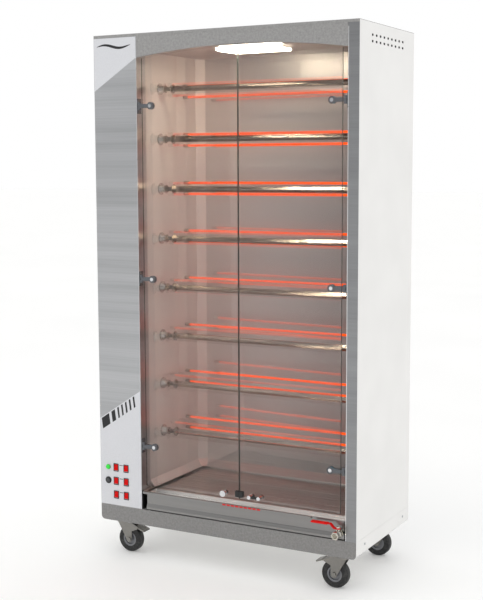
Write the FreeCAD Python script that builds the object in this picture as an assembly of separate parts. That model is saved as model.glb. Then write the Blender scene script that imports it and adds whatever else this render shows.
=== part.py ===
import FreeCAD, Part
import math
import os

# A free-standing electric rotisserie oven: eight chained spits in front of rod heaters, behind two glass
# doors, with a control column on the left and four swivel castors below.
# Millimetres. +X is the user's right, +Y runs to the back, +Z is up. The origin is on the floor, under the
# middle of the whole object.

V = FreeCAD.Vector
X = V(1, 0, 0)
Y = V(0, 1, 0)
Z = V(0, 0, 1)

# ---- driving sizes ---------------------------------------------------------------------------------
WIDTH = 1050.0
DEPTH = 504.0
BODY_HEIGHT = 1810.0
WHEEL_R = 50.0
CASTOR_HEIGHT = 2 * WHEEL_R + 28.0
FRONT_REACH = 46.0          # the drain valve stands this far in front of the cabinet
BACK_REACH = 20.0           # the cable gland stands this far behind it

SHEET = 1.5                 # cabinet and liner sheet
BASE_SHEET = 2.0
SEAM = 0.3                  # gap between two sheets that only lie next to each other
RUN = 0.3                   # gap beside a piece that moves
FIT = 0.05                  # radial clearance of a shaft in its bore

COLUMN_W = 184.0            # control column, left of the opening
PILLAR_W = 40.0             # hinge pillar, right of the opening
BAND_H = 60.0               # front band and skirts below the cabinet
BAND_CORNER = 15.0
CAP_LIP = 10.0              # depth of the top panel's front lip
RETURN_D = 60.0             # how far the column and the pillar fold back into the opening
FRAME_FOLD = 18.0           # other folded edges

HEADER_END_H = 86.5         # header's height at its ends, below the top
ARCH_RISE = 29.5
CEILING_DROP = 60.0         # cooking chamber's ceiling, below the top
LINER_BACK_GAP = 59.0       # behind the cooking chamber's back wall
CORNER_CUT = 28.0           # slanted corner strips of the liner
SKIRT_TOP = 160.0           # drip skirt: from this height above the cabinet's bottom
SKIRT_LOW = 134.5           # down to this one
SKIRT_IN = 20.0

TRAY_FLOOR = 126.0
TRAY_RIM = 132.0
TRAY_LIP = 129.0
TRAY_SIDE_GAP = 3.0
GUTTER_FLOOR = BAND_H + 18.0
GUTTER_TOP_Y = 70.0         # gutter's slanted side starts here, behind the cabinet's front
GUTTER_FOOT_Y = 30.0
GUTTER_IN = 20.0            # gutter's left end, inside the opening
TRAY_WALL_Y = 6.0
LIP_H = 8.0
APRON_LOW = BAND_H + 4.0
APRON_FOLD = BAND_H + 25.0
APRON_SLANT = 13.0
APRON_STOP = 26.0           # the apron stops this far from the valve's axis
GUTTER_RIGHT_IN = 6.0
VALVE_BAY = 130.0           # the lip stops this far from the opening's right side

GLASS = 6.0
GLASS_SET_BACK = 2.0
GLASS_SIDE_GAP = 20.0
GLASS_TOP_GAP = 5.0
GLASS_LOW = 153.0
DOOR_SEAM = 3.0
PIVOT_IN = 10.0             # hinge pin, inside the opening's side
HINGE_IN = 57.0             # clamp disc, inside the opening's side
HINGE_LOW = 149.0           # lowest hinge above the glass's lower edge
HINGE_HIGH = 171.5          # highest hinge below the header's ends
HINGE_PIN_R = 2.5
BARREL_R = 5.5
BARREL_HALF = 5.7
LEAF_T = 3.0                # fixed hinge leaf
CLAMP_PLATE = 4.0
CLAMP_HALF = 7.0
CLAMP_DISC_R = 13.0
CLAMP_CAP_R = 6.5
HANDLE_H = 18.0             # handles above the glass's lower edge
KNOB_FROM_SEAM = 56.0
POST_NEAR = 51.0
POST_FAR = 89.0
HANDLE_REACH = 24.0
POST_R = 7.0
GRIP_R = 5.0

SPIT_COUNT = 8
SPIT_Y = 157.0              # spit axis behind the cabinet's front
SPIT_LOW = 332.0            # lowest spit above the cabinet's bottom
SPIT_TOP_DROP = 130.0       # highest spit below the ceiling
SPIT_LEG = 15.0             # angle bar of the spit, along each leg
SPIT_LEG_T = 2.0
SPIT_RIDGE = 5.0            # its ridge, in front of the spit's axis
SPIT_STUB_R = 5.0
TANG_R = 6.0
SPINDLE_R = 7.0
BUSH_R = 13.0
SPROCKET_R = 24.0
SPROCKET_TEETH = 16
SPROCKET_T = 5.0
CHAIN_W = 7.0
CHAIN_T = 6.4
CHAIN_GAP = 0.6
CHAIN_ROW_1 = 31.0          # sprocket rows, to the left of the chamber's side
CHAIN_ROW_2 = 43.0
GEARBOX_OUT = 62.0          # gearbox, to the left of the chamber's side
GEARBOX_W = 58.0
GEARBOX_DEEP = 90.0
GEARBOX_TALL = 100.0
MOTOR_R = 42.0
MOTOR_L = 130.0
SPIT_TANG_IN = 5.5          # tang's end, inside the chamber's left side
SOCKET_IN = 19.0
DISC_1_IN = 25.0            # spit's grease disc and fork disc, inside the left side
DISC_2_IN = 57.0
DISC_3_IN = 40.0            # its end disc, inside the right side
DISC_T = 4.0
DISC_1_R = 14.0
DISC_2_R = 17.0
COLLAR_R = 8.0
HEATER_FROM_BACK = 117.0    # heater rods in front of the chamber's back wall
HEATER_RISE = 21.0          # above and below each spit
HEATER_R = 4.5
DIFFUSER_L = 226.0          # ceiling lamp's opal glass
DIFFUSER_W = 50.0
DIFFUSER_H = 12.0
DIFFUSER_RIM = 3.0
DIFFUSER_Y = 75.0           # behind the cabinet's front
CLIP_W = 5.0
CLIP_T = 4.0
FERRULE_R = 6.5
FERRULE_IN = 20.0

ROCKER_COLUMNS = (70.0, 115.0)              # from the cabinet's left side
ROCKER_ROWS = (207.0, 155.0, 102.0)         # above the cabinet's bottom
BEZEL_W = 22.0
BEZEL_H = 30.0
ROCKER_PIVOT = 4.0          # trunnions, behind the column's face
ROCKER_TILT = 8.0           # degrees
ROCKER_PIN_R = 1.5
PILOT_X = 35.0
PILOT_Z = 206.0
BUTTON_X = 35.0
BUTTON_Z = 155.0
BUTTON_R = 8.3

VALVE_FROM_RIGHT = 19.0     # drain valve's axis, from the opening's right side
VALVE_Z = 88.0
VALVE_BALL_Y = 19.0         # stem in front of the cabinet
SPIGOT_R = 10.5
VALVE_BODY_R = 11.5
VALVE_HEX = 25.0            # across flats
VALVE_HEX_L = 12.0
BALL_R = 14.0
LEVER_LOW = 18.3            # lever's underside above the valve's axis
LEVER_T = 3.0
OUTLET_R = 9.3
OUTLET_DEEP = 14.0
STEM_R = 4.0

VENT_COUNT = 9
VENT_PITCH = 34.9
VENT_L = 16.0
VENT_H = 8.0
VENT_DROPS = (42.0, 63.0)   # vent rows below the top

WHEEL_HALF = 15.0
HUB_R = WHEEL_R - 22.0
HUB_HALF = 17.2
AXLE_R = 6.0
TRAIL = 30.0
KINGPIN_IN = 68.0           # castor's kingpin from the cabinet's side
KINGPIN_FRONT = 57.0
KINGPIN_BACK = 54.0
KINGPIN_R = 8.0
CHEEK = 3.0
CASTOR_PLATE = 4.0
CASTOR_BOLTS = (40.0, 28.0)
BOLT_R = 4.0
KINGPIN_LOW = 2 * WHEEL_R + 4.0
CROWN_LOW = KINGPIN_LOW + 8.0
CROWN_TOP = CROWN_LOW + 5.7
RACE_R = 28.0
CHEEK_BACK = 20.0           # fork's top edge, from the kingpin outward and inward
CHEEK_FORE = 44.0
EAR = (32.0, WHEEL_R - 2.0) # brake pivot from the wheel's centre, inward and up
PEDAL_DOWN = 20.0           # degrees that a pressed brake pedal hangs down
PEDAL_PIN_R = 3.0

GLAND_X = 90.0              # cable gland from the cabinet's left side
GLAND_Z = 110.0             # and above its bottom
GLAND_BORE = 6.5
GLAND_R = 10.0
SIDE_SCREW_UP = 36.0
BACK_SCREW_IN = 10.0
SCREW_R = 2.0
SCREW_HEAD_R = 4.0

# ---- places worked out from them -------------------------------------------------------------------
LEFT = -WIDTH / 2
RIGHT = WIDTH / 2
BOTTOM = CASTOR_HEIGHT
TOP = BOTTOM + BODY_HEIGHT
FRONT = (FRONT_REACH - BACK_REACH - DEPTH) / 2
BACK = FRONT + DEPTH
OPEN_L = LEFT + COLUMN_W
OPEN_R = RIGHT - PILLAR_W
OPEN_MID = (OPEN_L + OPEN_R) / 2
BAND_TOP = BOTTOM + BAND_H
FACE_TOP = TOP - CAP_LIP
HEADER_EDGE = TOP - HEADER_END_H
ARCH_HALF = (OPEN_R - OPEN_L) / 2
ARCH_R = (ARCH_HALF**2 + ARCH_RISE**2) / (2 * ARCH_RISE)
ARCH_Z = HEADER_EDGE + ARCH_RISE - ARCH_R
CEILING = TOP - CEILING_DROP
WALL_BACK = BACK - LINER_BACK_GAP
HEATER_Y = WALL_BACK - HEATER_FROM_BACK
SPIT_AXIS_Y = FRONT + SPIT_Y
SPIT_Z0 = BOTTOM + SPIT_LOW
SPIT_PITCH = (CEILING - SPIT_TOP_DROP - SPIT_Z0) / (SPIT_COUNT - 1)
SPIT_LEVELS = [SPIT_Z0 + k * SPIT_PITCH for k in range(SPIT_COUNT)]
GLASS_FRONT = FRONT + GLASS_SET_BACK
GLASS_BACK = GLASS_FRONT + GLASS
PIVOT_Y = (GLASS_FRONT + GLASS_BACK) / 2
GLASS_BOTTOM = BOTTOM + GLASS_LOW
SIDE_SCREW_Z = BOTTOM + SIDE_SCREW_UP
HINGES_Z = (
    GLASS_BOTTOM + HINGE_LOW,
    (GLASS_BOTTOM + HINGE_LOW + HEADER_EDGE - HINGE_HIGH) / 2,
    HEADER_EDGE - HINGE_HIGH,
)
VALVE_X = OPEN_R - VALVE_FROM_RIGHT
STEM_Y = FRONT - VALVE_BALL_Y


# ---- shape helpers ---------------------------------------------------------------------------------
def block(x0, x1, y0, y1, z0, z1):
    return Part.makeBox(x1 - x0, y1 - y0, z1 - z0, V(x0, y0, z0))


def rod(r, start, axis, length):
    return Part.makeCylinder(r, length, start, axis)


def pipe(r_out, r_in, start, axis, length):
    return rod(r_out, start, axis, length).cut(rod(r_in, start, axis, length))


def prism(points, along):
    return Part.Face(Part.makePolygon(points + points[:1])).extrude(along)


def prism_x(outline, x0, x1):
    return prism([V(x0, y, z) for y, z in outline], V(x1 - x0, 0, 0))


def prism_y(outline, y0, y1):
    return prism([V(x, y0, z) for x, z in outline], V(0, y1 - y0, 0))


def prism_z(outline, z0, z1):
    return prism([V(x, y, z0) for x, y in outline], V(0, 0, z1 - z0))


def hexagon(across, centre, axis, length):
    """A hexagonal bar, across its flats, that starts at centre and runs along Y or Z."""
    r = across / math.sqrt(3)
    side = X.cross(axis)
    turns = [math.radians(60 * k) for k in range(6)]
    points = [centre + X * (r * math.cos(a)) + side * (r * math.sin(a)) for a in turns]
    return prism(points, axis * length)


def fuse(pieces):
    return pieces[0].multiFuse(pieces[1:]).removeSplitter()


def cut(body, tools):
    return body.cut(tools) if tools else body


def round_edges(body, radius, chosen):
    return body.makeFillet(radius, [e for e in body.Edges if chosen(e)])


def runs_along(edge, axis):
    if not isinstance(edge.Curve, Part.Line):
        return False
    return abs(abs(edge.Curve.Direction.dot(axis)) - 1) < 1e-6


def folded(points, thickness):
    """Outline of a sheet bent along the points, with its thickness on their left side."""
    normals = []
    for (a, b), (c, d) in zip(points, points[1:]):
        length = math.hypot(c - a, d - b)
        normals.append(((b - d) / length, (c - a) / length))
    inner = []
    for i, (u, v) in enumerate(points):
        n1 = normals[max(i - 1, 0)]
        n2 = normals[min(i, len(normals) - 1)]
        share = thickness / (1 + n1[0] * n2[0] + n1[1] * n2[1])
        inner.append((u + (n1[0] + n2[0]) * share, v + (n1[1] + n2[1]) * share))
    return points + inner[::-1]


def obround(length, height, y, z, x0, x1):
    """A slot's cutting tool along X, round at both ends along Y."""
    half = (length - height) / 2
    middle = block(x0, x1, y - half, y + half, z - height / 2, z + height / 2)
    ends = [rod(height / 2, V(x0, y + s * half, z), X, x1 - x0) for s in (-1, 1)]
    return fuse([middle] + ends)


# ---- cabinet ---------------------------------------------------------------------------------------
def side_screws():
    return [(side, y) for side in (-1, 1) for y in (FRONT + 77.0, BACK - 63.0)]


def back_screws():
    heights = [BAND_TOP + 40 + k * (TOP - BAND_TOP - 80) / 4 for k in range(5)]
    return [(s * (RIGHT - BACK_SCREW_IN), z) for s in (-1, 1) for z in heights]


def castor_places():
    """Each castor's name, kingpin and the way to the cabinet's middle."""
    return [
        (f"{end}_{side}", V(x, y, 0), inward)
        for end, y in (("front", FRONT + KINGPIN_FRONT), ("rear", BACK - KINGPIN_BACK))
        for side, x, inward in (("left", LEFT + KINGPIN_IN, 1), ("right", RIGHT - KINGPIN_IN, -1))
    ]


def castor_bolt_places():
    bx, by = CASTOR_BOLTS
    corners = [V(sx * bx, sy * by, 0) for sx in (-1, 1) for sy in (-1, 1)]
    return [pin + corner for _, pin, _ in castor_places() for corner in corners]


def skirt_bent(x0, x1, y0, y1, z0, z1, radius):
    body = block(x0, x1, y0, y1, z0, z1)
    return round_edges(body, radius, lambda e: runs_along(e, Y) and e.CenterOfMass.z < z0 + 1)


def base_frame():
    y0 = FRONT + SHEET
    low = BOTTOM + BASE_SHEET
    high = BAND_TOP - 0.5
    outer = skirt_bent(LEFT, RIGHT, y0, BACK, BOTTOM, high, BAND_CORNER)
    inside = RIGHT - BASE_SHEET
    inner = skirt_bent(-inside, inside, y0 - 1, BACK - BASE_SHEET, low, high + 1, BAND_CORNER - BASE_SHEET)
    pieces = [outer.cut(inner)]
    web_y = (FRONT + RETURN_D + SEAM, BACK - BASE_SHEET)
    rail_y = (FRONT + GUTTER_TOP_Y + 5, WALL_BACK - SKIRT_IN)
    rail_top = BOTTOM + TRAY_FLOOR - SHEET - RUN
    for side, wall in ((-1, OPEN_L), (1, OPEN_R)):
        web = sorted((wall + side * 0.5, wall + side * (0.5 + BASE_SHEET)))
        rail = sorted((wall + side * 0.5, wall - side * 14.0))
        pieces.append(block(*web, *web_y, low - 0.5, rail_top))
        pieces.append(block(*rail, *rail_y, rail_top - BASE_SHEET, rail_top))
    body = fuse(pieces)
    holes = [rod(BOLT_R + 0.2, p + Z * (BOTTOM - 1), Z, 5) for p in castor_bolt_places()]
    holes += [rod(SCREW_R + FIT, V(s * RIGHT, y, SIDE_SCREW_Z), X * -s, 4) for s, y in side_screws()]
    return [cut(body, holes)]


def front_band():
    face = block(LEFT, RIGHT, FRONT, FRONT + SHEET, BOTTOM, BAND_TOP)
    face = round_edges(face, BAND_CORNER, lambda e: runs_along(e, Y) and e.CenterOfMass.z < BOTTOM + 1)
    ledge = block(OPEN_L + 1, OPEN_R - 1, FRONT, FRONT + 22, BAND_TOP - SHEET, BAND_TOP)
    return [fuse([face, ledge])]


def top_panel():
    plate = block(LEFT, RIGHT, FRONT, BACK, TOP - SHEET, TOP)
    lip = block(LEFT, RIGHT, FRONT, FRONT + SHEET, FACE_TOP + SEAM, TOP - SHEET)
    return [fuse([plate, lip])]


def arch_tool(radius, y0, y1):
    """The disc whose top is the arch, cut off level with the opening's sides."""
    disc = rod(radius, V(OPEN_MID, y0, ARCH_Z), Y, y1 - y0)
    return disc.common(block(OPEN_L - 1, OPEN_R + 1, y0, y1, BOTTOM, TOP))


def header_fascia():
    x0 = OPEN_L + SEAM
    x1 = OPEN_R - SEAM
    face = block(x0, x1, FRONT, FRONT + SHEET, HEADER_EDGE - 5, FACE_TOP)
    fold = block(x0, x1, FRONT, FRONT + FRAME_FOLD, FACE_TOP - SHEET, FACE_TOP)
    rim_y = FRONT + GLASS_SET_BACK + GLASS
    rim = arch_tool(ARCH_R + SHEET, FRONT, rim_y).cut(arch_tool(ARCH_R, FRONT - 1, rim_y + 1))
    rim = rim.common(block(x0, x1, FRONT, rim_y, HEADER_EDGE - 5, TOP))
    return [fuse([face.cut(arch_tool(ARCH_R, FRONT - 1, FRONT + SHEET + 1)), fold, rim])]


def channel(x_in, x_out, inner_depth):
    """A fascia: its face, the deep return at x_in and a short return inside the side panel at x_out."""
    z0, z1 = BAND_TOP + SEAM, FACE_TOP
    s = 1 if x_out > x_in else -1
    face = block(*sorted((x_in, x_out)), FRONT, FRONT + SHEET, z0, z1)
    deep = block(*sorted((x_in, x_in + s * SHEET)), FRONT, FRONT + inner_depth, z0, z1)
    edge = x_out - s * (SHEET + SEAM)
    short = block(*sorted((edge, edge - s * SHEET)), FRONT, FRONT + FRAME_FOLD, z0, z1)
    body = fuse([face, deep, short])
    return round_edges(
        body,
        SHEET * 0.8,
        lambda e: runs_along(e, Z) and abs(e.CenterOfMass.x - x_in) < 0.1 and e.CenterOfMass.y < FRONT + 0.1,
    )


def column_fascia():
    body = channel(OPEN_L, LEFT, RETURN_D)
    y = FRONT - 1
    holes = [rod(8.0, V(LEFT + PILOT_X, y, BOTTOM + PILOT_Z), Y, 5)]
    holes.append(rod(11.2, V(LEFT + BUTTON_X, y, BOTTOM + BUTTON_Z), Y, 5))
    for x, z in rocker_places():
        w, h = (BEZEL_W - 2) / 2, (BEZEL_H - 1.6) / 2
        holes.append(block(x - w, x + w, y, y + 5, z - h, z + h))
    return [cut(body, holes)]


def right_pillar():
    return [channel(OPEN_R, RIGHT, RETURN_D)]


def side_panel(side):
    x0, x1 = sorted((side * RIGHT, side * (RIGHT - SHEET)))
    f0, f1 = sorted((side * (RIGHT - SHEET), side * (RIGHT - SHEET - FRAME_FOLD)))
    top = TOP - SHEET
    skin = block(x0, x1, FRONT + SHEET, BACK, BAND_TOP, top)
    fold = block(f0, f1, BACK - 2 * SHEET, BACK - SHEET, BAND_TOP, top)
    middle = (FRONT + BACK) / 2
    half = (VENT_COUNT - 1) / 2
    vents = [
        obround(VENT_L, VENT_H, middle + (k - half) * VENT_PITCH, TOP - drop, x0 - 1, x1 + 1)
        for drop in VENT_DROPS
        for k in range(VENT_COUNT)
    ]
    holes = [rod(SCREW_R + FIT, V(x, BACK - 5, z), Y, 6) for x, z in back_screws()]
    return [cut(fuse([skin, fold]), vents + holes)]


def back_panel():
    x = RIGHT - SHEET - SEAM
    body = block(-x, x, BACK - SHEET, BACK, BAND_TOP, TOP - SHEET)
    holes = [rod(SCREW_R + FIT, V(sx, BACK - 5, z), Y, 6) for sx, z in back_screws()]
    holes.append(rod(GLAND_R + 0.2, V(LEFT + GLAND_X, BACK - 5, BOTTOM + GLAND_Z), Y, 6))
    return [cut(body, holes)]


# ---- cooking chamber -------------------------------------------------------------------------------
def chamber_plan(grow, front):
    """The chamber's plan, from the left front edge round the back to the right front edge."""
    turn = grow * math.tan(math.radians(22.5))
    left, right, back = OPEN_L - grow, OPEN_R + grow, WALL_BACK + grow
    return [
        (left, front),
        (left, WALL_BACK - CORNER_CUT + turn),
        (OPEN_L + CORNER_CUT - turn, back),
        (OPEN_R - CORNER_CUT + turn, back),
        (right, WALL_BACK - CORNER_CUT + turn),
        (right, front),
    ]


def chamber_core(grow, front, top):
    """What the liner goes round: the straight chamber and the drip skirt that narrows below it."""
    straight = prism_z(chamber_plan(grow, front), BOTTOM + SKIRT_TOP, top)
    wires = []
    for height, inset in ((SKIRT_TOP, 0.0), (SKIRT_LOW, SKIRT_IN)):
        points = [V(x, y, BOTTOM + height) for x, y in chamber_plan(grow - inset, front)]
        wires.append(Part.makePolygon(points + points[:1]))
    return fuse([straight, Part.makeLoft(wires, True, True)])


def cavity_liner():
    front = FRONT + RETURN_D + SEAM
    outer = chamber_core(SHEET, front, CEILING + SHEET)
    inner = chamber_core(0.0, front - 1, CEILING)
    below = block(LEFT, RIGHT, front - 2, BACK, BOTTOM + SKIRT_LOW - 1, BOTTOM + SKIRT_LOW)
    shell = outer.cut([inner, below])
    canopy = block(OPEN_L + SEAM, OPEN_R - SEAM, GLASS_BACK + SEAM, front, CEILING, CEILING + SHEET)
    body = fuse([shell, canopy])
    holes = []
    for z in SPIT_LEVELS:
        holes.append(rod(BUSH_R + FIT, V(OPEN_L - 5, SPIT_AXIS_Y, z), X, 10))
        holes.append(rod(BUSH_R + FIT, V(OPEN_R - 5, SPIT_AXIS_Y, z), X, 10))
        for s in (-1, 1):
            for x in (OPEN_L, OPEN_R):
                holes.append(rod(FERRULE_R + 0.2, V(x - 5, HEATER_Y, z + s * HEATER_RISE), X, 10))
    return [cut(body, holes)]


def heating_elements():
    """One straight rod heater above and one below each spit, with a ferrule and a stud at each end."""
    rods = []
    for z in SPIT_LEVELS:
        for s in (-1, 1):
            at = V(0, HEATER_Y, z + s * HEATER_RISE)
            hot = rod(HEATER_R, at + X * OPEN_L, X, OPEN_R - OPEN_L)
            ends = [
                rod(FERRULE_R, at + X * (OPEN_L - 8), X, 8 + FERRULE_IN),
                rod(FERRULE_R, at + X * (OPEN_R - FERRULE_IN), X, 8 + FERRULE_IN),
                rod(2.0, at + X * (OPEN_L - 20), X, 12),
                rod(2.0, at + X * (OPEN_R + 8), X, 12),
            ]
            rods.append(fuse([hot] + ends))
    return rods


def ceiling_lamp():
    """An opal glass box on a shallow rim, held by a spring clip near its right end."""
    x0 = OPEN_MID - DIFFUSER_L / 2
    y0 = FRONT + DIFFUSER_Y
    rim_low = CEILING - DIFFUSER_RIM
    x1, y1 = x0 + DIFFUSER_L, y0 + DIFFUSER_W
    out = DIFFUSER_RIM
    frame = block(x0 - out, x1 + out, y0 - out, y1 + out, rim_low, CEILING)
    glass = block(x0, x1, y0, y1, CEILING - DIFFUSER_H, rim_low)
    glass = round_edges(glass, DIFFUSER_H / 3, lambda e: e.CenterOfMass.z < rim_low - 1)
    clip_x = x0 + 0.77 * DIFFUSER_L
    clip = block(clip_x, clip_x + CLIP_W, y0 - CLIP_T, y0, CEILING - DIFFUSER_H, CEILING)
    return [fuse([frame, glass, clip])]


# ---- spits and their drive -------------------------------------------------------------------------
def spit(z):
    """A welded angle-bar spit: tang, grease disc, collar, fork disc, bar, end disc and stub."""
    at = V(0, SPIT_AXIS_Y, z)
    disc_1, disc_2, disc_3 = OPEN_L + DISC_1_IN, OPEN_L + DISC_2_IN, OPEN_R - DISC_3_IN
    pieces = [
        rod(TANG_R, at + X * (OPEN_L + SPIT_TANG_IN), X, DISC_1_IN),
        rod(DISC_1_R, at + X * (disc_1 - DISC_T / 2), X, DISC_T),
        rod(COLLAR_R, at + X * disc_1, X, DISC_2_IN - DISC_1_IN),
        rod(DISC_2_R, at + X * (disc_2 - DISC_T / 2), X, DISC_T),
        rod(DISC_2_R, at + X * (disc_3 - DISC_T / 2), X, DISC_T),
        rod(SPIT_STUB_R, at + X * disc_3, X, DISC_3_IN + 6),
    ]
    ridge_y = at.y - SPIT_RIDGE
    reach = SPIT_LEG / math.sqrt(2)
    bend = [(ridge_y + reach, z + reach), (ridge_y, z), (ridge_y + reach, z - reach)]
    bar = prism_x(folded(bend, SPIT_LEG_T), disc_2, disc_3)
    bar = round_edges(bar, SPIT_LEG_T, lambda e: runs_along(e, X) and e.CenterOfMass.y < ridge_y + 0.1)
    return [fuse(pieces + [bar])]


def sprocket(x, at):
    """A chain wheel, with its teeth as flat-topped wedges."""
    outline = []
    root = SPROCKET_R - 5
    for k in range(SPROCKET_TEETH):
        for share, r in ((-0.3, root), (-0.12, SPROCKET_R), (0.12, SPROCKET_R), (0.3, root)):
            a = 2 * math.pi * (k + share) / SPROCKET_TEETH
            outline.append((at.y + r * math.cos(a), at.z + r * math.sin(a)))
    return prism_x(outline, x - SPROCKET_T / 2, x + SPROCKET_T / 2)


def drive_spindle(index, z):
    """Shaft, two chain wheels and the socket cup that holds the spit's tang. The lowest one is driven."""
    at = V(0, SPIT_AXIS_Y, z)
    start = OPEN_L - (100.0 if index == 0 else 58.0)
    cup_back = OPEN_L + RUN
    pieces = [
        rod(SPINDLE_R, at + X * start, X, cup_back + 4 - start),
        rod(22.0, at + X * cup_back, X, 2.5),
        Part.makeCone(18.0, 12.0, SOCKET_IN - RUN - 2, at + X * (cup_back + 2), X),
        sprocket(OPEN_L - CHAIN_ROW_1, at),
        sprocket(OPEN_L - CHAIN_ROW_2, at),
    ]
    socket = rod(TANG_R + 0.1, at + X * (OPEN_L + 5.2), X, 40)
    return [fuse(pieces).cut(socket)]


def chain_loop(x, z0, z1):
    y = SPIT_AXIS_Y
    x0 = x - CHAIN_W / 2
    r_in = SPROCKET_R + CHAIN_GAP
    r_out = r_in + CHAIN_T

    def stadium(r):
        ends = [rod(r, V(x0, y, z), X, CHAIN_W) for z in (z0, z1)]
        return fuse([block(x0, x0 + CHAIN_W, y - r, y + r, z0, z1)] + ends)

    return stadium(r_out).cut(stadium(r_in))


def drive_chains():
    rows = (OPEN_L - CHAIN_ROW_1, OPEN_L - CHAIN_ROW_2)
    pairs = zip(SPIT_LEVELS, SPIT_LEVELS[1:])
    return [chain_loop(rows[k % 2], low, high) for k, (low, high) in enumerate(pairs)]


def spit_bearings():
    """A flanged bush for each spindle in the chamber's left side, and for each stub in its right side."""
    solids = []
    for z in SPIT_LEVELS:
        at = V(0, SPIT_AXIS_Y, z)
        left = fuse([
            rod(BUSH_R, at + X * (OPEN_L - 12), X, 12),
            rod(20.0, at + X * (OPEN_L - SHEET - 3), X, 3),
        ])
        right = fuse([
            rod(BUSH_R, at + X * (OPEN_R - 10), X, 22),
            rod(20.0, at + X * (OPEN_R + SHEET), X, 3),
        ])
        solids.append(left.cut(rod(SPINDLE_R + FIT, at + X * (OPEN_L - 20), X, 40)))
        solids.append(right.cut(rod(SPIT_STUB_R + FIT, at + X * (OPEN_R - 20), X, 20 + 6 + RUN)))
    return solids


def gearmotor():
    """A worm gearbox on the lowest spindle, its upright motor and the foot that holds it."""
    at = V(0, SPIT_AXIS_Y, SPIT_LEVELS[0])
    x1 = OPEN_L - GEARBOX_OUT
    x0 = x1 - GEARBOX_W
    deep, tall = GEARBOX_DEEP / 2, GEARBOX_TALL / 2
    case = block(x0, x1, at.y - deep, at.y + deep, at.z - tall, at.z + tall)
    case = round_edges(case, 8.0, lambda e: runs_along(e, X))
    foot_of_motor = V(x1 - MOTOR_R, at.y, at.z + tall)
    motor = rod(MOTOR_R, foot_of_motor, Z, MOTOR_L)
    cap = rod(MOTOR_R - 4, foot_of_motor + Z * MOTOR_L, Z, 25)
    foot = block(x1 - 4, OPEN_L - SHEET, at.y - deep, at.y + deep, at.z - tall, at.z - tall + 4)
    bore = rod(SPINDLE_R + FIT, V(x0 - 1, at.y, at.z), X, x1 - x0 + 2)
    return [fuse([case, motor, cap, foot]).cut(bore)]


# ---- doors -----------------------------------------------------------------------------------------
def door_span(side):
    """The pane's hinge edge, its free edge and the hinge's pin, along X. Side -1 is the left door."""
    wall = OPEN_L if side < 0 else OPEN_R
    return wall - side * GLASS_SIDE_GAP, OPEN_MID + side * DOOR_SEAM / 2, wall - side * PIVOT_IN, wall


def handle_z():
    return GLASS_BOTTOM + HANDLE_H


def handle_holes(side):
    if side < 0:
        return [OPEN_MID - KNOB_FROM_SEAM]
    return [OPEN_MID + POST_NEAR, OPEN_MID + POST_FAR]


def door_glass(side):
    hinge, free, _, wall = door_span(side)
    pane = block(*sorted((hinge, free)), GLASS_FRONT, GLASS_BACK, GLASS_BOTTOM, TOP)
    pane = pane.common(arch_tool(ARCH_R - GLASS_TOP_GAP, GLASS_FRONT, GLASS_BACK))
    disc_x = wall - side * HINGE_IN
    holes = [rod(5.0, V(disc_x, GLASS_FRONT - 1, z), Y, GLASS + 2) for z in HINGES_Z]
    holes += [rod(4.0, V(x, GLASS_FRONT - 1, handle_z()), Y, GLASS + 2) for x in handle_holes(side)]
    return [cut(pane, holes)]


def glass_clamp(side, z):
    """Barrel on the hinge pin, a short web and the two plates that clamp the pane round a disc."""
    hinge, _, pin, wall = door_span(side)
    disc_x = wall - side * HINGE_IN
    web = sorted((pin, hinge + side * RUN))
    plate = sorted((hinge + side, disc_x))
    pieces = [
        rod(BARREL_R, V(pin, PIVOT_Y, z - BARREL_HALF), Z, 2 * BARREL_HALF),
        block(*web, PIVOT_Y - 5, PIVOT_Y + 5, z - BARREL_HALF, z + BARREL_HALF),
        rod(4.8, V(disc_x, GLASS_FRONT - 1, z), Y, GLASS + 2),
        rod(CLAMP_CAP_R, V(disc_x, GLASS_FRONT - CLAMP_PLATE - 2, z), Y, 3),
    ]
    for y in (GLASS_FRONT - CLAMP_PLATE, GLASS_BACK):
        pieces.append(block(*plate, y, y + CLAMP_PLATE, z - CLAMP_HALF, z + CLAMP_HALF))
        pieces.append(rod(CLAMP_DISC_R, V(disc_x, y, z), Y, CLAMP_PLATE))
    pin_hole = rod(HINGE_PIN_R + FIT, V(pin, PIVOT_Y, z - 20), Z, 40)
    return fuse(pieces).cut(pin_hole)


def seam_clip(side):
    """The catch that is pushed over the pane's free edge."""
    _, free, _, _ = door_span(side)
    z = handle_z()
    across = sorted((free + side * 14, free - side))
    outer = block(*across, GLASS_FRONT - 3, GLASS_BACK + 3, z - 11, z + 11)
    pane = block(*sorted((free + side * 20, free)), GLASS_FRONT, GLASS_BACK, z - 20, z + 20)
    return outer.cut(pane)


def bolt_through_glass(x, z):
    shank = rod(3.8, V(x, GLASS_FRONT - 1, z), Y, GLASS + 2)
    nut = rod(8.0, V(x, GLASS_BACK, z), Y, 3)
    return [shank, nut]


def knob(x, z):
    neck = rod(6.0, V(x, GLASS_FRONT - 14, z), Y, 14)
    head = rod(12.0, V(x, GLASS_FRONT - HANDLE_REACH, z), Y, 10)
    head = round_edges(head, 2.0, lambda e: e.CenterOfMass.y < GLASS_FRONT - 20)
    return fuse([head, neck] + bolt_through_glass(x, z))


def bow_handle(x0, x1, z):
    pieces = [rod(GRIP_R, V(x0, GLASS_FRONT - HANDLE_REACH + POST_R, z), X, x1 - x0)]
    for x in (x0, x1):
        pieces.append(rod(POST_R, V(x, GLASS_FRONT - HANDLE_REACH, z), Y, HANDLE_REACH))
        pieces += bolt_through_glass(x, z)
    return fuse(pieces)


def door_fittings(side):
    solids = [glass_clamp(side, z) for z in HINGES_Z] + [seam_clip(side)]
    places = handle_holes(side)
    solids.append(knob(places[0], handle_z()) if side < 0 else bow_handle(*places, handle_z()))
    return solids


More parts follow.
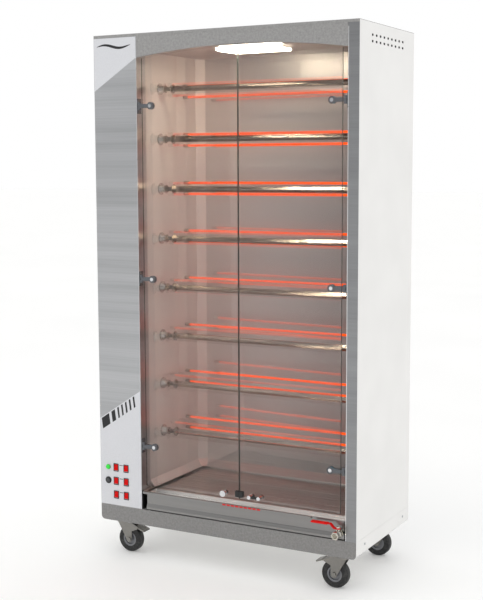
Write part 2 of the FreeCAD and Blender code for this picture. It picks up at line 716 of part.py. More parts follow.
def door_hardware():
    """The fixed hinge leaves on the sides of the opening, each with two lugs and its pin."""
    solids = []
    lug_z = BARREL_HALF + RUN
    for side in (-1, 1):
        _, _, pin, wall = door_span(side)
        for z in HINGES_Z:
            leaf = sorted((wall, wall - side * LEAF_T))
            arm = sorted((wall - side * LEAF_T / 2, pin))
            pieces = [
                block(*leaf, FRONT + 2.0, FRONT + 25.0, z - 27, z + 27),
                rod(HINGE_PIN_R, V(pin, PIVOT_Y, z - lug_z - 8), Z, 2 * lug_z + 16),
            ]
            for low in (z - lug_z - 8, z + lug_z):
                pieces.append(block(*arm, PIVOT_Y - 3, PIVOT_Y + 5, low, low + 8))
                pieces.append(rod(BARREL_R, V(pin, PIVOT_Y, low), Z, 8))
            solids.append(fuse(pieces))
    return solids


# ---- drip tray and drain ---------------------------------------------------------------------------
def drip_tray():
    """A shallow pan with a deep gutter along its front, a hemmed lip and an apron below. It is made of flat
    sheets that meet without a gap, so that its pan and its gutter stay open."""
    t = SHEET
    x0, x1 = OPEN_L + TRAY_SIDE_GAP, OPEN_R - TRAY_SIDE_GAP
    g0, g1 = OPEN_L + GUTTER_IN, OPEN_R - GUTTER_RIGHT_IN
    y0, y1 = FRONT + TRAY_WALL_Y, WALL_BACK - SKIRT_IN / 2
    floor, rim, lip = BOTTOM + TRAY_FLOOR, BOTTOM + TRAY_RIM, BOTTOM + TRAY_LIP
    sump, fold, low = BOTTOM + GUTTER_FLOOR, BOTTOM + APRON_FOLD, BOTTOM + APRON_LOW
    top_y, foot_y, wall_y = FRONT + GUTTER_TOP_Y, FRONT + GUTTER_FOOT_Y, y0 + t
    lip_end = OPEN_R - VALVE_BAY
    foot_end = VALVE_X - APRON_STOP
    path = folded([(y1, floor), (top_y, floor), (foot_y, sump), (wall_y, sump)], t)
    solids = [prism_x([path[k], path[k + 1], path[-k - 2], path[-k - 1]], g0, g1) for k in range(3)]
    trough_end = [(top_y, floor), (wall_y, floor), (wall_y, sump), (foot_y, sump)]
    solids += [prism_x(trough_end, g0, g0 + t), prism_x(trough_end, g1 - t, g1)]
    for near, far, edge in ((x0, g0, x0), (g1, x1, x1 - t)):
        solids.append(block(near, far, wall_y, y1, floor - t, floor))
        solids.append(block(near, far, y0, wall_y, floor - t, lip))
        solids.append(block(edge, edge + t, wall_y, y1, floor, rim))
    solids.append(block(x0 + t, x1 - t, y1 - t, y1, floor, rim))
    front_wall = block(g0, g1, y0, wall_y, low, lip)
    drain_hole = rod(SPIGOT_R + FIT, V(VALVE_X, FRONT, BOTTOM + VALVE_Z), Y, GUTTER_FOOT_Y)
    solids.append(front_wall.cut(drain_hole))
    solids.append(block(x0 + t, lip_end, FRONT + t, y0, lip - t, lip))
    solids.append(block(x0 + t, lip_end, FRONT, FRONT + t, lip - LIP_H, lip))
    apron = [(y0, fold), (FRONT + 0.5, fold - APRON_SLANT), (FRONT + 0.5, low), (y0, low)]
    solids.append(prism_x(apron, g0, foot_end))
    return solids


def drain_valve():
    z = BOTTOM + VALVE_Z
    wall = FRONT + TRAY_WALL_Y
    out = FRONT - FRONT_REACH
    at = V(VALVE_X, 0, z)
    stem = V(VALVE_X, STEM_Y, z)
    pieces = [
        rod(SPIGOT_R, at + Y * (wall - 2), Y, 2 + SHEET),
        hexagon(VALVE_HEX, at + Y * wall, -Y, VALVE_HEX_L),
        rod(VALVE_BODY_R, at + Y * out, Y, wall - out - 4),
        hexagon(VALVE_HEX, at + Y * (out + VALVE_HEX_L), -Y, VALVE_HEX_L),
        Part.makeSphere(BALL_R, stem),
        rod(6.5, stem, Z, 14.5),
        hexagon(11.0, stem + Z * 14.0, Z, 4.0),
        rod(STEM_R, stem, Z, LEVER_LOW + LEVER_T + 6),
        hexagon(10.0, stem + Z * (LEVER_LOW + LEVER_T + RUN), Z, 5.0),
    ]
    body = fuse(pieces)
    outlet = rod(OUTLET_R, at + Y * out, Y, OUTLET_DEEP)
    inlet = rod(7.5, at + Y * (STEM_Y + 10), Y, 60)
    return [body.cut([outlet, inlet])]


def valve_lever():
    """A cranked flat lever with a dipped grip. It points along the tray when the drain is shut."""
    z = BOTTOM + VALVE_Z + LEVER_LOW
    crank = [(VALVE_X + 7, z), (VALVE_X - 14, z), (VALVE_X - 28, z + 14), (VALVE_X - 94, z + 12)]
    strap = prism_y(folded(crank, -LEVER_T), STEM_Y - 7, STEM_Y + 7)
    grip = block(VALVE_X - 99, VALVE_X - 36, STEM_Y - 8.5, STEM_Y + 8.5, z + 11.0, z + 18.5)
    grip = round_edges(grip, 3.4, lambda e: runs_along(e, X) or runs_along(e, Y))
    hole = rod(STEM_R + FIT, V(VALVE_X, STEM_Y, z - 5), Z, 20)
    return [fuse([strap, grip]).cut(hole)]


# ---- controls --------------------------------------------------------------------------------------
def rocker_places():
    return [(LEFT + x, BOTTOM + z) for z in ROCKER_ROWS for x in ROCKER_COLUMNS]


def rocker(x, z):
    """A rocker in its off place, tilted about its own small trunnions."""
    y = FRONT + ROCKER_PIVOT
    half = BEZEL_W / 2 - 2.6
    tall = BEZEL_H / 2 - 4
    outline = [
        (y - 6.2, z + tall), (y - 4.6, z), (y - 6.2, z - tall), (y - 1, z - tall),
        (y + 3, z - 4), (y + 3, z + 4), (y - 1, z + tall),
    ]
    paddle = prism_x(outline, x - half, x + half)
    pin = rod(ROCKER_PIN_R, V(x - half - 0.9, y, z), X, 2 * half + 1.8)
    body = fuse([paddle, pin])
    body.rotate(V(x, y, z), X, -ROCKER_TILT)
    return [body]


def rocker_bezel(x, z):
    w, h = BEZEL_W / 2, BEZEL_H / 2
    plate = block(x - w, x + w, FRONT - 2, FRONT, z - h, z + h)
    plate = round_edges(plate, 1.5, lambda e: runs_along(e, Y))
    case = block(x - w + 1.2, x + w - 1.2, FRONT, FRONT + 24, z - h + 1, z + h - 1)
    pocket = block(x - w + 2.3, x + w - 2.3, FRONT - 3, FRONT + 13, z - h + 2.6, z + h - 2.6)
    pin = rod(ROCKER_PIN_R + FIT, V(x - w + 1.5, FRONT + ROCKER_PIVOT, z), X, 2 * w - 3)
    return fuse([plate, case]).cut([pocket, pin])


def switch_bezels():
    solids = [rocker_bezel(x, z) for x, z in rocker_places()]
    lamp = V(LEFT + PILOT_X, FRONT, BOTTOM + PILOT_Z)
    lens = Part.makeSphere(9.0, lamp + Y * 3).common(block(LEFT, OPEN_L, FRONT - 9, FRONT - 2, BOTTOM, TOP))
    solids.append(fuse([lens, rod(9.5, lamp - Y * 2, Y, 2), rod(7.8, lamp, Y, 22)]))
    button = V(LEFT + BUTTON_X, FRONT, BOTTOM + BUTTON_Z)
    ring = fuse([rod(13.0, button - Y * 2.5, Y, 2.5), rod(11.0, button, Y, 22)])
    solids.append(ring.cut(rod(BUTTON_R + RUN, button - Y * 3, Y, 16)))
    return solids


def push_button():
    at = V(LEFT + BUTTON_X, FRONT, BOTTOM + BUTTON_Z)
    cap = rod(BUTTON_R, at - Y * 5.5, Y, 14.5)
    return [round_edges(cap, 1.0, lambda e: e.CenterOfMass.y < FRONT - 5)]


def electrics():
    """Mounting plate, rail, contactors and terminal strip in the column, and the gland in the back."""
    x0 = LEFT + SHEET
    y0, z0 = FRONT + 200.0, BOTTOM + 560.0
    plate = block(x0, x0 + 2, y0, y0 + 200, z0, z0 + 330)
    solids = [plate]
    for k in range(2):
        z = z0 + 60 + 160 * k
        rail = block(x0 + 2, x0 + 9.5, y0 + 8, y0 + 192, z, z + 35)
        solids.append(rail)
    for k in range(3):
        y = y0 + 14 + 52 * k
        solids.append(block(x0 + 9.5, x0 + 90, y, y + 45, z0 + 40, z0 + 118))
    solids.append(block(x0 + 9.5, x0 + 55, y0 + 14, y0 + 160, z0 + 215, z0 + 260))
    at = V(LEFT + GLAND_X, 0, BOTTOM + GLAND_Z)
    gland = fuse([
        hexagon(26.0, at + Y * (BACK - SHEET), -Y, 6.0),
        rod(GLAND_R, at + Y * (BACK - SHEET - 2), Y, SHEET + 4),
        hexagon(26.0, at + Y * BACK, Y, 7.0),
        rod(11.5, at + Y * BACK, Y, BACK_REACH),
    ])
    solids.append(gland.cut(rod(GLAND_BORE, at + Y * (BACK - 20), Y, 60)))
    return solids


# ---- castors ---------------------------------------------------------------------------------------
def castor_plate(pin):
    race_low = CROWN_TOP + RUN
    plate_low = CASTOR_HEIGHT - CASTOR_PLATE
    plate = block(pin.x - 50, pin.x + 50, pin.y - 38, pin.y + 38, plate_low, CASTOR_HEIGHT)
    plate = round_edges(plate, 6.0, lambda e: runs_along(e, Z))
    race = rod(RACE_R, pin + Z * race_low, Z, plate_low - race_low)
    kingpin = rod(KINGPIN_R, pin + Z * KINGPIN_LOW, Z, plate_low - KINGPIN_LOW)
    nut = hexagon(20.0, pin + Z * KINGPIN_LOW, Z, CROWN_LOW - RUN - KINGPIN_LOW)
    holes = [rod(BOLT_R + 0.2, p + Z * (plate_low - 1), Z, 6) for p in castor_bolt_places()]
    return cut(fuse([plate, race, kingpin, nut]), holes)


def castor_fork(pin, inward, braked):
    """Crown, two cheeks and the axle, trailing towards the cabinet's middle."""
    wheel = pin + V(inward * TRAIL, 0, WHEEL_R)
    inner = HUB_HALF + RUN

    def at(u, z):
        return (pin.x + inward * u, z)

    outline = [
        at(-CHEEK_BACK, CROWN_TOP), at(CHEEK_FORE, CROWN_TOP),
        at(TRAIL + 12, WHEEL_R), at(TRAIL - 12, WHEEL_R),
    ]
    pieces = [rod(RACE_R, pin + Z * CROWN_LOW, Z, CROWN_TOP - CROWN_LOW)]
    bridge = sorted((pin.x - inward * CHEEK_BACK, pin.x + inward * CHEEK_FORE))
    pieces.append(block(*bridge, pin.y - inner - CHEEK, pin.y + inner + CHEEK, CROWN_LOW, CROWN_TOP))
    brake = wheel + V(inward * EAR[0], 0, EAR[1])
    for y in (pin.y - inner - CHEEK, pin.y + inner):
        pieces.append(prism_y(outline, y, y + CHEEK))
        pieces.append(rod(12.0, V(wheel.x, y, wheel.z), Y, CHEEK))
        if braked:
            ear = [
                at(CHEEK_FORE - 8, CROWN_TOP), (brake.x, brake.z + 8), (brake.x, brake.z - 8),
                at(CHEEK_FORE - 6, 1.6 * WHEEL_R),
            ]
            pieces.append(prism_y(ear, y, y + CHEEK))
            pieces.append(rod(8.0, V(brake.x, y, brake.z), Y, CHEEK))
    half = inner + CHEEK + 3.5
    pieces.append(rod(AXLE_R, V(wheel.x, wheel.y - half, wheel.z), Y, 2 * half))
    for y in (pin.y - half, pin.y + inner + CHEEK):
        pieces.append(hexagon(16.0, V(wheel.x, y, wheel.z), Y, 3.5))
    holes = [rod(KINGPIN_R + FIT, pin + Z * (CROWN_LOW - 1), Z, 30)]
    if braked:
        holes.append(rod(PEDAL_PIN_R + FIT, V(brake.x, pin.y - 30, brake.z), Y, 60))
    return [cut(fuse(pieces), holes)]


def castor_wheel(pin, inward):
    """A rubber tyre on a ribbed hub with a long boss."""
    at = pin + V(inward * TRAIL, 0, WHEEL_R)
    tyre = rod(WHEEL_R, at - Y * WHEEL_HALF, Y, 2 * WHEEL_HALF)
    tyre = round_edges(tyre, 7.0, lambda e: e.Length > 2 * math.pi * WHEEL_R - 1)
    tyre = tyre.cut(rod(HUB_R, at - Y * 20, Y, 40))
    rim = pipe(HUB_R, HUB_R - 5, at - Y * 13, Y, 26)
    web = rod(HUB_R - 2, at - Y * 4, Y, 8)
    boss = rod(11.0, at - Y * HUB_HALF, Y, 2 * HUB_HALF)
    bore = rod(AXLE_R + FIT, at - Y * 20, Y, 40)
    return [tyre, fuse([rim, web, boss]).cut(bore)]


def brake_pedal(pin, inward):
    """The pedal that presses the brake shoe down on the tyre, shown pressed."""
    wheel = pin + V(inward * TRAIL, 0, WHEEL_R)
    pivot = wheel + V(inward * EAR[0], 0, EAR[1])
    inner = HUB_HALF + RUN
    x = sorted((pivot.x - inward * 4, pivot.x + inward * 14))
    neck = block(*x, pin.y - inner + RUN, pin.y + inner - RUN, pivot.z - 1, pivot.z + 5)
    x = sorted((pivot.x + inward * 11, pivot.x + inward * 38))
    tread = block(*x, pin.y - 21, pin.y + 21, pivot.z + 1, pivot.z + 6)
    tread = round_edges(tread, 2.0, lambda e: runs_along(e, Z))
    barrel = rod(4.0, V(pivot.x, pin.y - inner + RUN, pivot.z), Y, 2 * (inner - RUN))
    axle = rod(PEDAL_PIN_R, V(pivot.x, pin.y - inner - CHEEK, pivot.z), Y, 2 * (inner + CHEEK))
    body = fuse([neck, tread, barrel, axle])
    body.rotate(pivot, Y, inward * PEDAL_DOWN)
    return [body]


def castor_plates():
    return [castor_plate(pin) for _, pin, _ in castor_places()]


# ---- fasteners -------------------------------------------------------------------------------------
def fasteners():
    solids = []
    for p in castor_bolt_places():
        head_low = CASTOR_HEIGHT - CASTOR_PLATE - 5
        above = CASTOR_HEIGHT + BASE_SHEET
        solids.append(fuse([
            hexagon(13.0, p + Z * head_low, Z, 5.0),
            rod(BOLT_R, p + Z * head_low, Z, above + 9 - head_low),
            hexagon(13.0, p + Z * above, Z, 6.5),
        ]))
    for s, y in side_screws():
        at = V(s * RIGHT, y, SIDE_SCREW_Z)
        solids.append(fuse([rod(SCREW_R, at + X * s, -X * s, 9), rod(SCREW_HEAD_R, at, X * s, 1.6)]))
    for x, z in back_screws():
        at = V(x, BACK, z)
        solids.append(fuse([rod(SCREW_R, at + Y, -Y, 9), rod(SCREW_HEAD_R, at, Y, 1.6)]))
    return solids


# ---- every sub-part --------------------------------------------------------------------------------
def sub_parts():
    parts = {
        "base_frame": base_frame(),
        "front_band": front_band(),
        "top_panel": top_panel(),
        "header_fascia": header_fascia(),
        "column_fascia": column_fascia(),
        "right_pillar": right_pillar(),
        "side_panel_left": side_panel(-1),
        "side_panel_right": side_panel(1),
        "back_panel": back_panel(),
        "cavity_liner": cavity_liner(),
        "heating_elements": heating_elements(),
        "ceiling_lamp": ceiling_lamp(),
        "spit_bearings": spit_bearings(),
        "drive_chains": drive_chains(),
        "gearmotor": gearmotor(),
        "door_glass_left": door_glass(-1),
        "door_glass_right": door_glass(1),
        "door_fittings_left": door_fittings(-1),
        "door_fittings_right": door_fittings(1),
        "door_hardware": door_hardware(),
        "drip_tray": drip_tray(),
        "drain_valve": drain_valve(),
        "valve_lever": valve_lever(),
        "switch_bezels": switch_bezels(),
        "push_button": push_button(),
        "electrics": electrics(),
        "castor_plates": castor_plates(),
        "fasteners": fasteners(),
    }
    for k, z in enumerate(SPIT_LEVELS):
        parts[f"spit_{k + 1}"] = spit(z)
        parts[f"drive_spindle_{k + 1}"] = drive_spindle(k, z)
    for k, (x, z) in enumerate(rocker_places()):
        parts[f"rocker_{k + 1}"] = rocker(x, z)
    for name, pin, inward in castor_places():
        braked = name.startswith("front")
        parts[f"castor_fork_{name}"] = castor_fork(pin, inward, braked)
        parts[f"castor_wheel_{name}"] = castor_wheel(pin, inward)
        if braked:
            parts[f"brake_pedal_{name}"] = brake_pedal(pin, inward)
    return parts


def main():
    os.makedirs("parts", exist_ok=True)
    for name, solids in sub_parts().items():
        for solid in solids:
            if not solid.isValid() or len(solid.Solids) != 1:
                raise ValueError(f"{name} isn't one valid solid: {len(solid.Solids)}")
        shape = Part.makeCompound([s.Solids[0] for s in solids])
        shape.exportStep(os.path.join("parts", name + ".step"))
        box = shape.BoundBox
        print(f"{name:24s} {len(solids):3d} {box.XMin:8.1f} {box.XMax:8.1f} {box.YMin:8.1f} {box.YMax:8.1f} "
              f"{box.ZMin:8.1f} {box.ZMax:8.1f}")


main()
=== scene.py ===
import math

import bmesh
import bpy
from mathutils import Euler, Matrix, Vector


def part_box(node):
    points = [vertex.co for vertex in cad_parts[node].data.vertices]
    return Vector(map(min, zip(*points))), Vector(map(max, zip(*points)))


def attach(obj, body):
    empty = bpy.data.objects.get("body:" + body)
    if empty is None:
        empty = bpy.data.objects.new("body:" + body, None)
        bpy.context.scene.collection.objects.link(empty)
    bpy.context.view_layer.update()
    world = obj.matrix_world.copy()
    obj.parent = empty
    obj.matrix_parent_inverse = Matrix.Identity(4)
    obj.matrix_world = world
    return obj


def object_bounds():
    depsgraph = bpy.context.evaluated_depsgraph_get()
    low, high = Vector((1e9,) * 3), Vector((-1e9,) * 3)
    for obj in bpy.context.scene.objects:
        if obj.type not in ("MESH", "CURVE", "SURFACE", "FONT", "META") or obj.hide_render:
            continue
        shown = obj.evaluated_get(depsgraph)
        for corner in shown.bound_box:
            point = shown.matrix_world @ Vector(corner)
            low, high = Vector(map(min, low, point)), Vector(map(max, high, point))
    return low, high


bl_info = {
    "name": "Rotisserie oven finish",
    "version": (1, 0, 0),
    "blender": (4, 5, 0),
    "location": "3D View > Sidebar > Rotisserie",
    "description": "Puts real finishes, printed films, lenses and a small studio round the jointed oven",
    "category": "Object",
}

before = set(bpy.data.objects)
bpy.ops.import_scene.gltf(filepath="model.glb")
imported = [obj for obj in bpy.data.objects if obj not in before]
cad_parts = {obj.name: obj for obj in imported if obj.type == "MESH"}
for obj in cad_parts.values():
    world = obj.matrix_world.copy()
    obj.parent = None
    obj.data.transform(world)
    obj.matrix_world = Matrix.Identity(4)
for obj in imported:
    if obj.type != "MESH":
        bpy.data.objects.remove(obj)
CAD_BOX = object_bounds()

MM = 0.001
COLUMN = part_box("column_fascia")
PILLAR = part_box("right_pillar")
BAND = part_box("front_band")
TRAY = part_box("drip_tray")
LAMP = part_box("ceiling_lamp")
FRONT_Y = BAND[0].y
BAND_TOP = BAND[1].z
OPENING_LEFT = COLUMN[1].x
OPENING_RIGHT = PILLAR[0].x
SEAM = (OPENING_LEFT + OPENING_RIGHT) / 2    # where the two doors meet
INK = 0.1 * MM                               # thickness of a printed mark
HIGHLIGHT_T = 0.2 * MM                            # thickness of the painted highlight strips beside the opening
LAMP_RIM = 3.1 * MM                          # height of the ceiling lamp's enamelled rim
TRAY_FRONT = 14 * MM                         # depth of the tray's lip and apron
HUB_SHARE = 0.28                             # a castor hub's radius as a share of the wheel's diameter
FLOOR_GAP = 0.5 * MM                         # between the tyres and the studio floor


# ---- sizes and colours that a user would change ------------------------------------------------------
def length_prop(name, text, millimetres):
    return bpy.props.FloatProperty(
        name=name, description=text, default=millimetres * MM, unit="LENGTH", precision=5
    )


def hex_prop(name, text, code):
    return bpy.props.StringProperty(name=name, description=text, default=code, maxlen=7)


class RotisserieSizes(bpy.types.PropertyGroup):
    """Sizes of the printed films, marks and small trim."""

    film: length_prop("Film thickness", "Thickness of the printed film on the control column", 0.3)
    film_edge: length_prop("Film edge", "Bare metal between the film and the column's sides", 1.5)
    upper_cut_left: length_prop("Upper cut, outer", "Upper film's slant below the top, outer side", 189)
    upper_cut_right: length_prop("Upper cut, inner", "The same, at the opening", 74)
    lower_cut_left: length_prop("Lower cut, outer", "Lower film's slant above the band, outer side", 331)
    lower_cut_right: length_prop("Lower cut, inner", "The same, at the opening", 449)
    # Painted highlight: width of the bright strips beside the opening, which stand in for the light that the
    # folded edges catch.
    highlight_width: length_prop("Trim width", "Bright edge of the pillar, beside the opening", 2.6)
    edge_round: length_prop("Edge round", "Rounding that folded sheet edges show", 0.8)
    ferrule: length_prop("Heater ferrule", "Bare metal end of each heater rod, inside the chamber", 20)


class RotisserieColours(bpy.types.PropertyGroup):
    """Surface colours as sRGB hex values."""

    enamel: hex_prop("Hammer enamel", "Grey paint of the header and top", "#9d9c9b")
    # Painted shade: a darker copy of the header's enamel, standing in for the lower light on the band.
    band: hex_prop("Band enamel", "Grey paint of the front band", "#8b8a89")
    film: hex_prop("Film", "Printed film of the control column", "#dadbdf")
    powder: hex_prop("Powder coat", "White side panels and skirts", "#e9e8e6")
    front_steel: hex_prop("Front steel", "Brushed control column", "#b4b5b7")
    # Painted shade: a darker copy of the column's brushed steel, standing in for the shade on the pillar's
    # face.
    pillar_steel_shaded: hex_prop("Pillar steel", "Brushed hinge pillar", "#949597")
    chamber_steel: hex_prop("Chamber steel", "Back wall and ceiling of the cooking chamber", "#cbc6c3")
    # Painted light: a lighter, warmer copy of the chamber's steel, standing in for the lamp's light falling
    # on the side walls.
    chamber_side_lit: hex_prop("Chamber sides", "Side walls of the cooking chamber", "#d8d0ca")
    tray_steel: hex_prop("Tray steel", "Drip tray", "#c9c5c1")
    # Painted shade: a darker copy of the tray's steel on its front faces, standing in for how light falls on
    # them.
    tray_front_shaded: hex_prop("Tray front", "Lip and apron of the drip tray", "#8d8c8b")
    heater: hex_prop("Glowing heater", "Light of a hot heater rod", "#ff561b")
    lamp: hex_prop("Lamp", "Light of the ceiling lamp", "#fff0d6")
    signal_red: hex_prop("Red plastic", "Rockers, lever sleeve and tray mark", "#d40200")
    pilot_green: hex_prop("Pilot green", "Lit pilot lens", "#2fc83c")


class RotisserieStage(bpy.types.PropertyGroup):
    """Camera and light."""

    eye: bpy.props.FloatVectorProperty(
        name="Camera place", description="Where the camera stands",
        default=(2.048, -3.865, 1.463), unit="LENGTH",
    )
    turn: bpy.props.FloatProperty(
        name="Camera turn", description="Turn to the left about Z",
        default=math.radians(28.42), subtype="ANGLE",
    )
    dip: bpy.props.FloatProperty(
        name="Camera dip", description="How far the camera looks down",
        default=math.radians(6.43), subtype="ANGLE",
    )
    roll: bpy.props.FloatProperty(
        name="Camera roll", description="Roll about the line of sight",
        default=math.radians(-0.22), subtype="ANGLE",
    )
    lens: bpy.props.FloatProperty(
        name="Lens", description="Focal length on a 36 mm sensor", default=71.14, unit="CAMERA"
    )
    sky: bpy.props.FloatProperty(
        name="Room light", description="Strength of the even room light", default=1.0
    )
    flag: hex_prop("Room's front left", "Tone of the part of the room that the front mirrors", "#c4c4c4")
    key: bpy.props.FloatProperty(
        name="Key light", description="Power of the soft key", default=12, unit="POWER"
    )


# ---- helpers -------------------------------------------------------------------------------------------
def linear(code, alpha=1.0):
    """sRGB hex to the linear colour that the nodes take."""
    channels = [int(code[i:i + 2], 16) / 255 for i in (1, 3, 5)]
    return tuple(c / 12.92 if c <= 0.04045 else ((c + 0.055) / 1.055) ** 2.4 for c in channels) + (alpha,)


def add(tree, kind, sockets=None, **settings):
    """Adds a node with its settings. A socket's value is a constant, or another node's output to link."""
    node = tree.nodes.new(kind)
    for key, value in settings.items():
        setattr(node, key, value)
    for key, value in (sockets or {}).items():
        if isinstance(value, bpy.types.NodeSocket):
            tree.links.new(value, node.inputs[key])
        else:
            node.inputs[key].default_value = value
    return node


def new_material(name, sockets):
    """A material with one Principled shader whose constants are set on its own sockets."""
    material = bpy.data.materials.new(name)
    material.use_nodes = True
    tree = material.node_tree
    tree.nodes.clear()
    shader = add(tree, "ShaderNodeBsdfPrincipled", sockets)
    output = add(tree, "ShaderNodeOutputMaterial")
    tree.links.new(shader.outputs["BSDF"], output.inputs["Surface"])
    return material, tree, shader


def place(tree, scale=(1.0, 1.0, 1.0)):
    """The point on the piece, in metres, stretched by scale."""
    where = add(tree, "ShaderNodeTexCoord").outputs["Object"]
    return add(tree, "ShaderNodeMapping", {"Vector": where, "Scale": scale}).outputs["Vector"]


def noise(tree, vector, scale=1.0, detail=3.0, roughness=0.55):
    """Smooth noise whose grain is about 1 / scale metres wide."""
    sockets = {"Vector": vector, "Scale": scale, "Detail": detail, "Roughness": roughness}
    return add(tree, "ShaderNodeTexNoise", sockets).outputs["Fac"]


def ramp(tree, value, low, high, colour_low, colour_high):
    """A colour that goes from one to the other while value goes from low to high."""
    node = add(tree, "ShaderNodeValToRGB", {"Fac": value})
    node.color_ramp.elements[0].position = low
    node.color_ramp.elements[1].position = high
    node.color_ramp.elements[0].color = colour_low
    node.color_ramp.elements[1].color = colour_high
    return node.outputs["Color"]


def spread(tree, value, low, high):
    """A noise's usual range, 0.3 to 0.7, stretched to run from low to high."""
    sockets = {"Value": value, "From Min": 0.3, "From Max": 0.7, "To Min": low, "To Max": high}
    return add(tree, "ShaderNodeMapRange", sockets).outputs["Result"]


def bump(tree, shader, height, distance, strength):
    """Relief of that depth in metres, which bends the highlights and moves no surface."""
    sockets = {"Height": height, "Distance": distance, "Strength": strength}
    node = add(tree, "ShaderNodeBump", sockets)
    tree.links.new(node.outputs["Normal"], shader.inputs["Normal"])


def shade(code, factor):
    """A darker or lighter linear colour."""
    r, g, b, a = linear(code)
    return (min(1.0, r * factor), min(1.0, g * factor), min(1.0, b * factor), a)


# ---- materials -----------------------------------------------------------------------------------------
def brushed_stainless(name, code, grain, roughness, contrast=0.10, metallic=1.0, relief=0.3, shade_span=None):
    """304 stainless, belt-brushed along one axis: long hair lines that blur reflections across them.
    The real lines are about 0.1 mm apart, too fine to show, so they are drawn 2 to 5 mm apart.
    The last argument gives the two X places between which a wide wall darkens: a painted shade standing in
    for the lamp's light falling off."""
    material, tree, shader = new_material(name, {"Metallic": metallic, "Roughness": roughness})
    along, across = 1.6, 260.0
    scale = tuple(along if axis == grain else across for axis in "XYZ")
    lines = noise(tree, place(tree, scale), 1.0, 5.0, 0.7)
    broad = tuple(0.5 if axis == grain else 26.0 for axis in "XYZ")
    bands = noise(tree, place(tree, broad), 1.0, 2.0, 0.5)
    both = add(tree, "ShaderNodeMath", {0: lines, 1: bands}, operation="ADD")
    half = add(tree, "ShaderNodeMath", {0: both.outputs[0], 1: 0.5}, operation="MULTIPLY").outputs[0]
    colour = ramp(tree, half, 0.36, 0.64, shade(code, 1 - contrast), shade(code, 1 + contrast))
    if shade_span:
        # Painted shade: the wall's colour darkens slowly from its pale left end to its darker right end,
        # standing in for the lamp's light falling off.
        sides = add(tree, "ShaderNodeSeparateXYZ", {0: place(tree)}).outputs["X"]
        span = {"Value": sides, "From Min": shade_span[0], "From Max": shade_span[1]}
        part = add(tree, "ShaderNodeMapRange", span).outputs["Result"]
        tone = ramp(tree, part, 0.0, 1.0, linear("#ffffff"), linear("#989898"))
        both_colours = {0: 1.0, 6: colour, 7: tone}
        mixed = add(tree, "ShaderNodeMix", both_colours, data_type="RGBA", blend_type="MULTIPLY")
        colour = mixed.outputs[2]
    tree.links.new(colour, shader.inputs["Base Color"])
    tree.links.new(spread(tree, lines, roughness - 0.03, roughness + 0.04), shader.inputs["Roughness"])
    if relief:
        bump(tree, shader, lines, 0.00002, relief)
    return material


def hammer_enamel(name, code):
    """Hammer-tone enamel on steel: small dimples and a fine metallic fleck under a satin coat."""
    material, tree, shader = new_material(name, {"Metallic": 0.3, "Roughness": 0.5, "IOR": 1.45})
    fleck = noise(tree, place(tree), 420.0, 4.0, 0.7)
    patch = noise(tree, place(tree), 130.0, 3.0, 0.6)
    both = add(tree, "ShaderNodeMath", {0: fleck, 1: patch}, operation="ADD")
    half = add(tree, "ShaderNodeMath", {0: both.outputs[0], 1: 0.5}, operation="MULTIPLY").outputs[0]
    colour = ramp(tree, half, 0.38, 0.62, shade(code, 0.82), shade(code, 1.16))
    tree.links.new(colour, shader.inputs["Base Color"])
    tree.links.new(spread(tree, fleck, 0.34, 0.52), shader.inputs["Roughness"])
    bump(tree, shader, fleck, 0.0004, 0.35)
    return material


def powder_coat(name, code):
    """Polyester powder coat: an even colour with the faint orange peel of cured powder, 3 mm wide."""
    material, tree, shader = new_material(name, {"Roughness": 0.38, "IOR": 1.5})
    skin = noise(tree, place(tree), 330.0, 2.0, 0.5)
    cloud = noise(tree, place(tree), 5.0, 2.0, 0.5)
    colour = ramp(tree, cloud, 0.3, 0.7, shade(code, 0.97), shade(code, 1.02))
    tree.links.new(colour, shader.inputs["Base Color"])
    tree.links.new(spread(tree, skin, 0.33, 0.45), shader.inputs["Roughness"])
    bump(tree, shader, skin, 0.0002, 0.2)
    return material


def printed_film(name, code):
    """Matt polyester overlay with a metallic silver ink: fine grain, no gloss."""
    material, tree, shader = new_material(name, {"Metallic": 0.1, "Roughness": 0.48})
    grain = noise(tree, place(tree), 420.0, 3.0, 0.6)
    colour = ramp(tree, grain, 0.3, 0.7, shade(code, 0.95), shade(code, 1.04))
    tree.links.new(colour, shader.inputs["Base Color"])
    tree.links.new(spread(tree, grain, 0.42, 0.54), shader.inputs["Roughness"])
    bump(tree, shader, grain, 0.00008, 0.3)
    return material


def ink(name, code):
    """Screen-printed ink: flat, with a slight waver in its gloss where the screen's mesh held it."""
    material, tree, shader = new_material(name, {"Base Color": linear(code), "IOR": 1.5})
    mesh = noise(tree, place(tree), 700.0, 2.0, 0.5)
    tree.links.new(spread(tree, mesh, 0.40, 0.53), shader.inputs["Roughness"])
    return material


def moulded_plastic(name, code, roughness=0.32, coat=0.0, glow=0.0, shine=0.5):
    """Injection-moulded ABS or nylon: fine spark-eroded grain 0.6 mm wide, softly glossy."""
    sockets = {"IOR": 1.53, "Coat Weight": coat, "Coat Roughness": 0.08, "Specular IOR Level": shine}
    if glow:
        sockets |= {"Emission Color": linear(code), "Emission Strength": glow}
    material, tree, shader = new_material(name, sockets)
    grain = noise(tree, place(tree), 1600.0, 2.0, 0.5)
    colour = ramp(tree, grain, 0.3, 0.7, shade(code, 0.92), shade(code, 1.06))
    tree.links.new(colour, shader.inputs["Base Color"])
    tree.links.new(spread(tree, grain, roughness - 0.05, roughness + 0.07), shader.inputs["Roughness"])
    bump(tree, shader, grain, 0.00006, 0.3)
    return material


def plated(name, code, roughness):
    """Chrome, nickel or zinc plate: a clean mirror or a satin one, faintly uneven from handling."""
    material, tree, shader = new_material(name, {"Metallic": 1.0})
    smear = noise(tree, place(tree), 90.0, 3.0, 0.6)
    colour = ramp(tree, smear, 0.3, 0.7, shade(code, 0.94), shade(code, 1.06))
    tree.links.new(colour, shader.inputs["Base Color"])
    gloss = spread(tree, smear, max(0.03, roughness - 0.04), roughness + 0.06)
    tree.links.new(gloss, shader.inputs["Roughness"])
    return material


